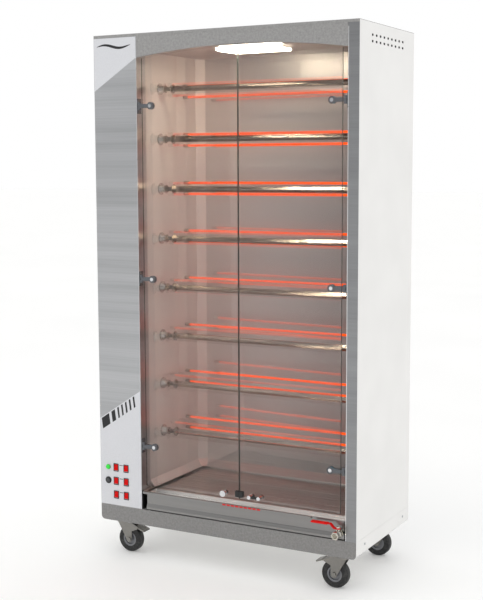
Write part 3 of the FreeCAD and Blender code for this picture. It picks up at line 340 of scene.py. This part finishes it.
def drawn_bar(name, code):
    """Stainless bar, polished by hand along its length: its highlights break up every few centimetres."""
    material, tree, shader = new_material(name, {"Metallic": 1.0, "Roughness": 0.16})
    wave = noise(tree, place(tree, (26.0, 160.0, 160.0)), 1.0, 3.0, 0.6)
    colour = ramp(tree, wave, 0.35, 0.65, shade(code, 0.62), shade(code, 1.1))
    tree.links.new(colour, shader.inputs["Base Color"])
    tree.links.new(spread(tree, wave, 0.1, 0.26), shader.inputs["Roughness"])
    bump(tree, shader, wave, 0.0008, 0.5)
    return material


def tyre_rubber(name, code):
    """Black elastic rubber, moulded: matt, with dust-grey scuffs on its tread."""
    material, tree, shader = new_material(name, {"IOR": 1.52})
    scuff = noise(tree, place(tree), 120.0, 4.0, 0.65)
    colour = ramp(tree, scuff, 0.45, 0.8, linear(code), shade("#4a4a48", 1.0))
    tree.links.new(colour, shader.inputs["Base Color"])
    tree.links.new(spread(tree, scuff, 0.5, 0.75), shader.inputs["Roughness"])
    bump(tree, shader, scuff, 0.0002, 0.4)
    return material


def toughened_glass(name):
    """Clear toughened soda-lime glass, fire-polished: almost nothing but its reflections. Its index is drawn
    below the real 1.52 and most of it lets light straight through, as a clean pane does for the eye."""
    sockets = {
        "Base Color": linear("#fbfdfc"), "Roughness": 0.0, "IOR": 1.4,
        "Transmission Weight": 1.0, "Alpha": 0.3,
    }
    material, _, _ = new_material(name, sockets)
    return material


def ground_glass_edge(name):
    """Ground and seamed edge of the pane, where the glass shows its dark green body."""
    material, tree, shader = new_material(name, {"IOR": 1.52})
    grind = noise(tree, place(tree), 500.0, 2.0, 0.5)
    colour = ramp(tree, grind, 0.3, 0.7, linear("#2f3a38"), linear("#56625f"))
    tree.links.new(colour, shader.inputs["Base Color"])
    tree.links.new(spread(tree, grind, 0.25, 0.4), shader.inputs["Roughness"])
    return material


def glowing_sheath(name, code, strength):
    """Incoloy heater sheath at orange heat: it gives its own light, a little unevenly along its length."""
    sockets = {"Base Color": linear("#1a0602"), "Roughness": 0.7, "Specular IOR Level": 0.05}
    material, tree, shader = new_material(name, sockets)
    patches = noise(tree, place(tree, (14.0, 40.0, 40.0)), 1.0, 2.0, 0.5)
    colour = ramp(tree, patches, 0.3, 0.7, shade(code, 0.9), shade(code, 1.0))
    tree.links.new(colour, shader.inputs["Emission Color"])
    shader.inputs["Emission Strength"].default_value = strength
    return material


def opal_diffuser(name, code, strength):
    """Opal glass over the chamber's lamp, evenly lit from inside."""
    sockets = {
        "Base Color": linear("#f6f4ee"), "Roughness": 0.25, "Emission Color": linear(code),
        "Emission Strength": strength,
    }
    material, tree, shader = new_material(name, sockets)
    bump(tree, shader, noise(tree, place(tree), 300.0, 2.0, 0.5), 0.0002, 0.3)
    return material


# ---- painting CAD nodes --------------------------------------------------------------------------------
def paint(node, material, *others):
    """Gives a CAD node its finish. Each other (material, test) takes the faces that pass its test."""
    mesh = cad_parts[node].data
    mesh.materials.clear()
    mesh.materials.append(material)
    for other, _ in others:
        mesh.materials.append(other)
    for face in mesh.polygons:
        face.material_index = 0
        for k, (_, test) in enumerate(others):
            if test(face.center, face.normal):
                face.material_index = k + 1
    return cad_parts[node]


def soften(node, width):
    """Rounds the sharp edges of a folded or machined piece, so that they catch the light."""
    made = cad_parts[node].modifiers.new("folded edges", "BEVEL")
    made.width = width
    made.segments = 2
    made.limit_method = "ANGLE"
    made.angle_limit = math.radians(50)
    made.harden_normals = False


# ---- new pieces ----------------------------------------------------------------------------------------
def solid_from_outline(name, outline, back, front, material, body="cabinet"):
    """A thin plate: its outline lies in the XZ plane, and it fills the space between two Y values."""
    mesh = bpy.data.meshes.new(name)
    made = bmesh.new()
    face = made.faces.new([made.verts.new((x, back, z)) for x, z in outline])
    pulled = bmesh.ops.extrude_face_region(made, geom=[face])["geom"]
    moved = [v for v in pulled if isinstance(v, bmesh.types.BMVert)]
    bmesh.ops.translate(made, verts=moved, vec=(0, front - back, 0))
    bmesh.ops.recalc_face_normals(made, faces=made.faces)
    made.to_mesh(mesh)
    made.free()
    mesh.materials.append(material)
    piece = bpy.data.objects.new(name, mesh)
    bpy.context.scene.collection.objects.link(piece)
    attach(piece, body)
    return piece


def turned_piece(name, profile, centre, axis, material, body, steps=40):
    """A piece turned on a lathe: profile is (radius, distance along axis), from one end to the other."""
    mesh = bpy.data.meshes.new(name)
    made = bmesh.new()
    turn = Vector((0, 0, 1)).rotation_difference(Vector(axis)).to_matrix()
    rings = []
    for radius, along in profile:
        ring = []
        for k in range(steps):
            a = 2 * math.pi * k / steps
            point = turn @ Vector((radius * math.cos(a), radius * math.sin(a), along))
            ring.append(made.verts.new(point + Vector(centre)))
        rings.append(ring)
    for low, high in zip(rings, rings[1:]):
        for k in range(steps):
            made.faces.new((low[k], low[(k + 1) % steps], high[(k + 1) % steps], high[k]))
    made.faces.new(rings[0][::-1])
    made.faces.new(rings[-1])
    bmesh.ops.recalc_face_normals(made, faces=made.faces)
    for face in made.faces:
        face.smooth = len(face.verts) == 4
    made.to_mesh(mesh)
    made.free()
    mesh.materials.append(material)
    piece = bpy.data.objects.new(name, mesh)
    bpy.context.scene.collection.objects.link(piece)
    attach(piece, body)
    return piece


# ---- operators -----------------------------------------------------------------------------------------
class ROTISSERIE_OT_stage(bpy.types.Operator):
    """Camera, floor, even room light and two soft lamps"""

    bl_idname = "rotisserie.stage"
    bl_label = "Stage"

    def execute(self, context):
        scene = context.scene
        look = scene.rotisserie_stage
        scene.view_settings.view_transform = "Standard"
        data = bpy.data.cameras.new("camera")
        data.lens = look.lens
        data.sensor_width = 36.0
        data.clip_end = 200.0
        camera = bpy.data.objects.new("camera", data)
        turn = Euler((0, 0, look.turn)).to_matrix() @ Euler((math.radians(90) - look.dip, 0, 0)).to_matrix()
        camera.matrix_world = (turn @ Euler((0, 0, look.roll)).to_matrix()).to_4x4()
        camera.location = look.eye
        scene.collection.objects.link(camera)
        scene.camera = camera

        world = bpy.data.worlds.new("even room light")
        world.use_nodes = True
        world.node_tree.nodes.clear()
        tree = world.node_tree
        way = add(tree, "ShaderNodeTexCoord").outputs["Generated"]
        front_left = {0: way, 1: (-0.47, -0.88, 0.0)}
        toward = add(tree, "ShaderNodeVectorMath", front_left, operation="DOT_PRODUCT").outputs["Value"]
        tone = ramp(tree, toward, 0.55, 0.95, linear("#ffffff"), linear(look.flag))
        sky = add(tree, "ShaderNodeBackground", {"Color": tone, "Strength": look.sky})
        end = add(tree, "ShaderNodeOutputWorld")
        tree.links.new(sky.outputs[0], end.inputs["Surface"])
        scene.world = world

        mesh = bpy.data.meshes.new("studio_floor")
        far = 60.0
        mesh.from_pydata([(-far, -far, 0), (far, -far, 0), (far, far, 0), (-far, far, 0)], [], [(0, 1, 2, 3)])
        lit = {"Roughness": 0.8, "Emission Color": linear("#ffffff"), "Emission Strength": 0.1}
        floor_finish, tree, shader = new_material("White acrylic floor, lit from below", lit)
        tone = ramp(tree, noise(tree, place(tree), 0.8, 2.0), 0.3, 0.7, linear("#f4f4f3"), linear("#f8f8f7"))
        tree.links.new(tone, shader.inputs["Base Color"])
        mesh.materials.append(floor_finish)
        floor = bpy.data.objects.new("studio_floor", mesh)
        floor.location.z = CAD_BOX[0].z - FLOOR_GAP
        scene.collection.objects.link(floor)

        middle = (CAD_BOX[0] + CAD_BOX[1]) / 2
        for name, side, power, size in (("key", -1.0, look.key, 2.5), ("fill", 1.0, look.key * 0.5, 3.0)):
            lamp_data = bpy.data.lights.new(name, "AREA")
            lamp_data.energy = power
            lamp_data.size = size
            lamp = bpy.data.objects.new(name, lamp_data)
            lamp.location = middle + Vector((side * 3.2, -2.6, 2.2))
            lamp.rotation_euler = (middle - lamp.location).to_track_quat("-Z", "Y").to_euler()
            scene.collection.objects.link(lamp)
        return {"FINISHED"}


class ROTISSERIE_OT_cabinet(bpy.types.Operator):
    """Enamelled header, band and top, white sides and skirts, brushed pillar and galvanised back"""

    bl_idname = "rotisserie.cabinet"
    bl_label = "Cabinet skins"

    def execute(self, context):
        colours = context.scene.rotisserie_colours
        sizes = context.scene.rotisserie_sizes
        enamel = hammer_enamel("Hammer-tone grey enamel", colours.enamel)
        white = powder_coat("White polyester powder coat", colours.powder)
        # The pillar's steel is painted darker than the column's, as painted shade.
        steel = brushed_stainless("Brushed 304 stainless, pillar", colours.pillar_steel_shaded, "X", 0.34)
        back = brushed_stainless("Galvanised back sheet", "#a9abad", "Z", 0.42, 0.06)
        # The band's enamel is painted darker than the header's, as painted shade.
        band = hammer_enamel("Grey hammer enamel, band", colours.band)
        for node, finish in (("header_fascia", enamel), ("front_band", band), ("top_panel", enamel)):
            paint(node, finish)
            soften(node, sizes.edge_round)
        for node in ("side_panel_left", "side_panel_right", "base_frame"):
            paint(node, white)
        paint("right_pillar", steel)
        # Painted highlights: thin bright strips on the pillar's and column's edges beside the opening stand
        # in for the light that their folded edges catch.
        bright = plated("Painted edge highlight", "#e6e7e8", 0.3)
        x0, x1 = OPENING_RIGHT + 0.4 * MM, OPENING_RIGHT + sizes.highlight_width
        z0, z1 = BAND_TOP + 1 * MM, PILLAR[1].z - 12 * MM
        outline = [(x0, z0), (x1, z0), (x1, z1), (x0, z1)]
        solid_from_outline("pillar_edge_highlight", outline, FRONT_Y, FRONT_Y - HIGHLIGHT_T, bright)
        x0, x1 = OPENING_LEFT - sizes.highlight_width * 0.5, OPENING_LEFT - 0.1 * MM
        z0, z1 = BAND_TOP + sizes.lower_cut_right, PILLAR[1].z - sizes.upper_cut_right
        outline = [(x0, z0), (x1, z0), (x1, z1), (x0, z1)]
        solid_from_outline("column_edge_highlight", outline, FRONT_Y, FRONT_Y - HIGHLIGHT_T, bright)
        paint("back_panel", back)
        zinc = plated("Bright zinc plate", "#aeb2b6", 0.25)
        paint("fasteners", zinc)
        return {"FINISHED"}


class ROTISSERIE_OT_column(bpy.types.Operator):
    """Brushed column face with its two printed films and plain printed marks"""

    bl_idname = "rotisserie.column"
    bl_label = "Control column"

    def execute(self, context):
        colours = context.scene.rotisserie_colours
        sizes = context.scene.rotisserie_sizes
        steel = brushed_stainless("Brushed 304 stainless, column", colours.front_steel, "X", 0.32, 0.12)
        film = printed_film("Silver printed polyester film", colours.film)
        black = ink("Black screen ink", "#17171a")
        paint("column_fascia", steel)
        left = COLUMN[0].x + sizes.film_edge
        right = COLUMN[1].x - sizes.film_edge
        low, high = COLUMN[0].z + sizes.film_edge, COLUMN[1].z - sizes.film_edge
        front = FRONT_Y - sizes.film
        base = BAND_TOP
        upper = [
            (left, high - sizes.upper_cut_left), (right, high - sizes.upper_cut_right),
            (right, high), (left, high),
        ]
        lower = [
            (left, low), (right, low),
            (right, base + sizes.lower_cut_right), (left, base + sizes.lower_cut_left),
        ]
        solid_from_outline("film_upper", upper, FRONT_Y, front, film)
        solid_from_outline("film_lower", lower, FRONT_Y, front, film)
        self.slanted_bars(left, right, base, front, sizes, black)
        self.flourish(left, right, high, front, black)
        self.switch_marks(front, black)
        return {"FINISHED"}

    def slanted_bars(self, left, right, base, front, sizes, black):
        """Plain bars that lie along the lower film's slant, thick ones first."""
        rise = (sizes.lower_cut_right - sizes.lower_cut_left) / (right - left)
        drop, height, lean, gap = 4 * MM, 40 * MM, 5.6 * MM, 10.5 * MM
        x = left + 6 * MM
        for k, millimetres in enumerate((34, 16, 7, 7, 7, 7, 7)):
            width = millimetres * MM
            z = base + sizes.lower_cut_left + rise * (x - left) - drop
            z_next = z + rise * width
            foot, foot_next = x + lean, x + width + lean
            outline = [(foot, z - height), (foot_next, z_next - height), (x + width, z_next), (x, z)]
            solid_from_outline(f"film_bar_{k + 1}", outline, front, front - INK, black)
            x += width + gap

    def flourish(self, left, right, high, front, black):
        """A plain tapering stroke near the column's top."""
        x0, x1 = left + 12 * MM, right - 22 * MM
        z = high - 30 * MM
        swing, thick, tip = 6 * MM, 4.5 * MM, 0.3 * MM
        steps = 24
        upper, lower = [], []
        for k in range(steps + 1):
            t = k / steps
            x = x0 + (x1 - x0) * t
            wave = swing * math.sin(t * math.pi * 2.2)
            half = thick * math.sin(math.pi * t) ** 0.7 + tip
            upper.append((x, z + wave + half))
            lower.append((x, z + wave - half))
        solid_from_outline("film_stroke", lower + upper[::-1], front, front - INK, black)

    def switch_marks(self, front, black):
        """A short printed dash between the two rockers of each row."""
        for row in range(3):
            a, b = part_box(f"rocker_{2 * row + 1}"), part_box(f"rocker_{2 * row + 2}")
            middle = (a[1].x + b[0].x) / 2
            z = (a[0].z + a[1].z) / 2 + 9 * MM
            x0, x1, z0, z1 = middle - 8 * MM, middle + 8 * MM, z - 1.2 * MM, z + 1.2 * MM
            outline = [(x0, z0), (x1, z0), (x1, z1), (x0, z1)]
            solid_from_outline(f"switch_mark_{row + 1}", outline, front, front - INK, black)


class ROTISSERIE_OT_chamber(bpy.types.Operator):
    """Brushed chamber walls, drip tray and the opal ceiling lamp"""

    bl_idname = "rotisserie.chamber"
    bl_label = "Cooking chamber"

    def execute(self, context):
        colours = context.scene.rotisserie_colours
        width = (OPENING_LEFT, OPENING_RIGHT)
        # The back wall and ceiling get a painted shade that darkens them from the opening's left side to its
        # right.
        walls = brushed_stainless(
            "Brushed 304 stainless, chamber", colours.chamber_steel, "X", 0.32, 0.04, 0.6, 0.0, width
        )
        # The side walls take a lighter copy of the chamber's steel: painted light from the lamp.
        sides = brushed_stainless(
            "Brushed 304 stainless, chamber sides", colours.chamber_side_lit, "Y", 0.4, 0.02, 0.25, 0.0
        )
        tray = brushed_stainless("Brushed 304 stainless, tray", colours.tray_steel, "X", 0.28, 0.06)
        paint("cavity_liner", walls, (sides, lambda c, n: abs(n.x) > 0.6))
        # The lip and apron take a darker copy of the tray steel: painted shade.
        lip = brushed_stainless("Brushed 304 stainless, tray front", colours.tray_front_shaded, "X", 0.3, 0.06)
        paint("drip_tray", tray, (lip, lambda c, n: c.y < FRONT_Y + TRAY_FRONT))
        opal = opal_diffuser("Opal lamp glass", colours.lamp, 60.0)
        rim = powder_coat("Lamp rim enamel", "#c9c6c0")
        paint("ceiling_lamp", opal, (rim, lambda c, n: c.z > LAMP[1].z - LAMP_RIM))
        return {"FINISHED"}


class ROTISSERIE_OT_heaters(bpy.types.Operator):
    """Glowing heater rods with bare metal ferrules"""

    bl_idname = "rotisserie.heaters"
    bl_label = "Heaters"

    def execute(self, context):
        colours = context.scene.rotisserie_colours
        sizes = context.scene.rotisserie_sizes
        hot = glowing_sheath("Incoloy sheath at orange heat", colours.heater, 1.3)
        cold = plated("Stainless ferrule", "#8d8782", 0.3)
        bare = sizes.ferrule + 0.5 * MM
        low, high = OPENING_LEFT + bare, OPENING_RIGHT - bare
        paint("heating_elements", hot, (cold, lambda c, n: c.x < low or c.x > high))
        return {"FINISHED"}


class ROTISSERIE_OT_spits(bpy.types.Operator):
    """Spits, socket spindles, bushes, chains and gearmotor"""

    bl_idname = "rotisserie.spits"
    bl_label = "Spits and drive"

    def execute(self, context):
        bright = drawn_bar("Polished stainless bar", "#a89e94")
        burnt = plated("Heat-blackened collar", "#3a3632", 0.35)
        collar_left, collar_right = OPENING_LEFT + 27 * MM, OPENING_LEFT + 55 * MM
        turned = plated("Turned stainless", "#a8a49f", 0.24)
        bush = plated("Oilite bronze", "#8f6d3c", 0.38)
        chain = plated("Oiled roller chain steel", "#4b4a49", 0.36)
        motor = powder_coat("Grey motor enamel", "#5d646a")
        for k in range(8):
            paint(f"spit_{k + 1}", bright, (burnt, lambda c, n: collar_left < c.x < collar_right))
            paint(f"drive_spindle_{k + 1}", turned)
        paint("spit_bearings", bush)
        paint("drive_chains", chain)
        paint("gearmotor", motor)
        return {"FINISHED"}


class ROTISSERIE_OT_doors(bpy.types.Operator):
    """Toughened panes with ground edges, glass clamps, knob, bow handle and hinge leaves"""

    bl_idname = "rotisserie.doors"
    bl_label = "Doors"

    def execute(self, context):
        glass = toughened_glass("Clear toughened glass")
        edge = ground_glass_edge("Ground glass edge")
        chrome = plated("Chrome plate", "#d8d9db", 0.08)
        dark = powder_coat("Grey hinge enamel", "#5c5e62")
        # Painted reflection: a teal colour on the clamps' top and bottom faces stands in for the glint that
        # they catch.
        teal_glint = moulded_plastic("Painted teal glint on clamps", "#2c8ea6", 0.3)
        black = moulded_plastic("Black nylon", "#141415", 0.38)
        for side in ("left", "right"):
            paint(f"door_glass_{side}", glass, (edge, lambda c, n: abs(n.y) < 0.5))
        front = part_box("door_glass_left")[0].y
        handle_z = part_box("door_glass_left")[0].z + 18 * MM
        grip_left, grip_right = SEAM + 58.5 * MM, SEAM + 81.5 * MM

        def is_clip(c, n):
            """The catches at the seam."""
            return abs(c.x - SEAM) < 16 * MM and abs(c.z - handle_z) < 12 * MM

        def is_grip(c, n):
            """The middle of the bow handle."""
            level = abs(c.z - handle_z) < 6 * MM
            return level and grip_left < c.x < grip_right and c.y < front - 8 * MM

        def is_arm(c, n):
            """The clamps' arms, behind their chromed caps."""
            return c.z > handle_z + 50 * MM and c.y > front - 4.5 * MM

        def is_teal_glint(c, n):
            """Painted reflection: the top and bottom faces of each clamp's arm, coloured teal to stand in for
            the glint that they catch.
            """
            from_side = min(c.x - OPENING_LEFT, OPENING_RIGHT - c.x)
            return is_arm(c, n) and 30 * MM < from_side < 56 * MM and abs(n.z) > 0.7 and c.y < front

        for side in ("left", "right"):
            others = ((dark, is_arm), (teal_glint, is_teal_glint), (black, is_clip), (black, is_grip))
            paint(f"door_fittings_{side}", chrome, *others)
        paint("door_hardware", dark)
        return {"FINISHED"}


class ROTISSERIE_OT_controls(bpy.types.Operator):
    """Rockers and their bezels, push button and the lit pilot lens"""

    bl_idname = "rotisserie.controls"
    bl_label = "Controls"

    def execute(self, context):
        colours = context.scene.rotisserie_colours
        # The red rockers carry a faint painted glow that keeps their red bright; they hold no lamp.
        red = moulded_plastic("Red polycarbonate rocker", colours.signal_red, 0.35, 0.0, 0.06, 0.15)
        black = moulded_plastic("Black ABS", "#1b1b1d", 0.36)
        grey = moulded_plastic("Dark grey ABS", "#3c3d40", 0.34)
        green = moulded_plastic("Lit green lens", colours.pilot_green, 0.25, 0.2, 0.35, 0.3)
        paint("switch_bezels", black)
        for k in range(6):
            paint(f"rocker_{k + 1}", red)
        paint("push_button", grey)
        self.pilot(green)
        return {"FINISHED"}

    def pilot(self, green):
        """A domed lens over the pilot lamp's body, the upper left of the controls."""
        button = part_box("push_button")
        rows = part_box("rocker_1")
        x = (button[0].x + button[1].x) / 2
        z = (rows[0].z + rows[1].z) / 2 - 1 * MM
        dome = ((9.2, 0), (9.2, 1.2), (8.6, 2.4), (7.0, 4.0), (4.5, 5.2), (1.8, 5.8), (0.1, 5.9))
        profile = [(radius * MM, height * MM) for radius, height in dome]
        front = button[0].y + 2.5 * MM
        turned_piece("pilot_lens", profile, (x, front, z), (0, -1, 0), green, "cabinet")


class ROTISSERIE_OT_drain(bpy.types.Operator):
    """Drain valve, its red lever and the plain red mark on the tray"""

    bl_idname = "rotisserie.drain"
    bl_label = "Drain"

    def execute(self, context):
        colours = context.scene.rotisserie_colours
        nickel = plated("Nickel-plated brass", "#c9c5bb", 0.16)
        # The vinyl sleeve carries a faint painted glow that keeps its red bright; it holds no lamp.
        sleeve = moulded_plastic("Red vinyl sleeve", colours.signal_red, 0.35, 0.0, 0.05, 0.2)
        red = ink("Red screen ink", colours.signal_red)
        paint("drain_valve", nickel)
        paint("valve_lever", sleeve)
        count, width, height, gap = 9, 13.5 * MM, 6 * MM, 4 * MM
        left, z = OPENING_LEFT + 345 * MM, TRAY[1].z - 9.8 * MM
        for k in range(count):
            x = left + k * (width + gap)
            outline = [(x, z), (x + width, z), (x + width, z + height), (x, z + height)]
            solid_from_outline(f"tray_mark_{k + 1}", outline, FRONT_Y, FRONT_Y - INK, red, "tray")
        return {"FINISHED"}


class ROTISSERIE_OT_castors(bpy.types.Operator):
    """Castor plates, forks, pedals, tyres and hubs"""

    bl_idname = "rotisserie.castors"
    bl_label = "Castors"

    def execute(self, context):
        zinc = plated("Zinc-plated pressed steel", "#8b8985", 0.38)
        rubber = tyre_rubber("Black castor rubber", "#161617")
        hub = moulded_plastic("Grey polypropylene hub", "#85868a", 0.42)
        black = moulded_plastic("Black pedal nylon", "#1a1a1b", 0.4)
        paint("castor_plates", zinc)
        for end in ("front", "rear"):
            for side in ("left", "right"):
                paint(f"castor_fork_{end}_{side}", zinc)
                low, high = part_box(f"castor_wheel_{end}_{side}")
                middle = (low + high) / 2
                hub_radius = (high.x - low.x) * HUB_SHARE

                def in_hub(c, n, middle=middle):
                    return math.hypot(c.x - middle.x, c.z - middle.z) < hub_radius

                paint(f"castor_wheel_{end}_{side}", rubber, (hub, in_hub))
                if end == "front":
                    paint(f"brake_pedal_{end}_{side}", zinc, (black, lambda c, n: n.z < -0.3))
        return {"FINISHED"}


class ROTISSERIE_OT_service(bpy.types.Operator):
    """Contactors, rails and the cable gland"""

    bl_idname = "rotisserie.service"
    bl_label = "Service parts"

    def execute(self, context):
        paint("electrics", moulded_plastic("Black polyamide", "#202123", 0.42))
        return {"FINISHED"}


OPERATORS = (
    ROTISSERIE_OT_stage, ROTISSERIE_OT_cabinet, ROTISSERIE_OT_column, ROTISSERIE_OT_chamber,
    ROTISSERIE_OT_heaters, ROTISSERIE_OT_spits, ROTISSERIE_OT_doors, ROTISSERIE_OT_controls,
    ROTISSERIE_OT_drain, ROTISSERIE_OT_castors, ROTISSERIE_OT_service,
)


class ROTISSERIE_PT_panel(bpy.types.Panel):
    """Lists the oven's finishing steps"""

    bl_label = "Rotisserie"
    bl_idname = "ROTISSERIE_PT_panel"
    bl_space_type = "VIEW_3D"
    bl_region_type = "UI"
    bl_category = "Rotisserie"

    def draw(self, context):
        for made in OPERATORS:
            self.layout.operator(made.bl_idname)
        for group in (context.scene.rotisserie_sizes, context.scene.rotisserie_colours):
            for key in group.bl_rna.properties.keys():
                if key not in ("rna_type", "name"):
                    self.layout.prop(group, key)


GROUPS = {
    "rotisserie_sizes": RotisserieSizes,
    "rotisserie_colours": RotisserieColours,
    "rotisserie_stage": RotisserieStage,
}


def register():
    for name, group in GROUPS.items():
        bpy.utils.register_class(group)
        setattr(bpy.types.Scene, name, bpy.props.PointerProperty(type=group))
    for made in OPERATORS + (ROTISSERIE_PT_panel,):
        bpy.utils.register_class(made)


def unregister():
    for made in (ROTISSERIE_PT_panel,) + OPERATORS[::-1]:
        bpy.utils.unregister_class(made)
    for name, group in GROUPS.items():
        delattr(bpy.types.Scene, name)
        bpy.utils.unregister_class(group)


def main():
    register()
    for made in OPERATORS:
        group, step = made.bl_idname.split(".")
        getattr(getattr(bpy.ops, group), step)()


if __name__ == "__main__":
    main()
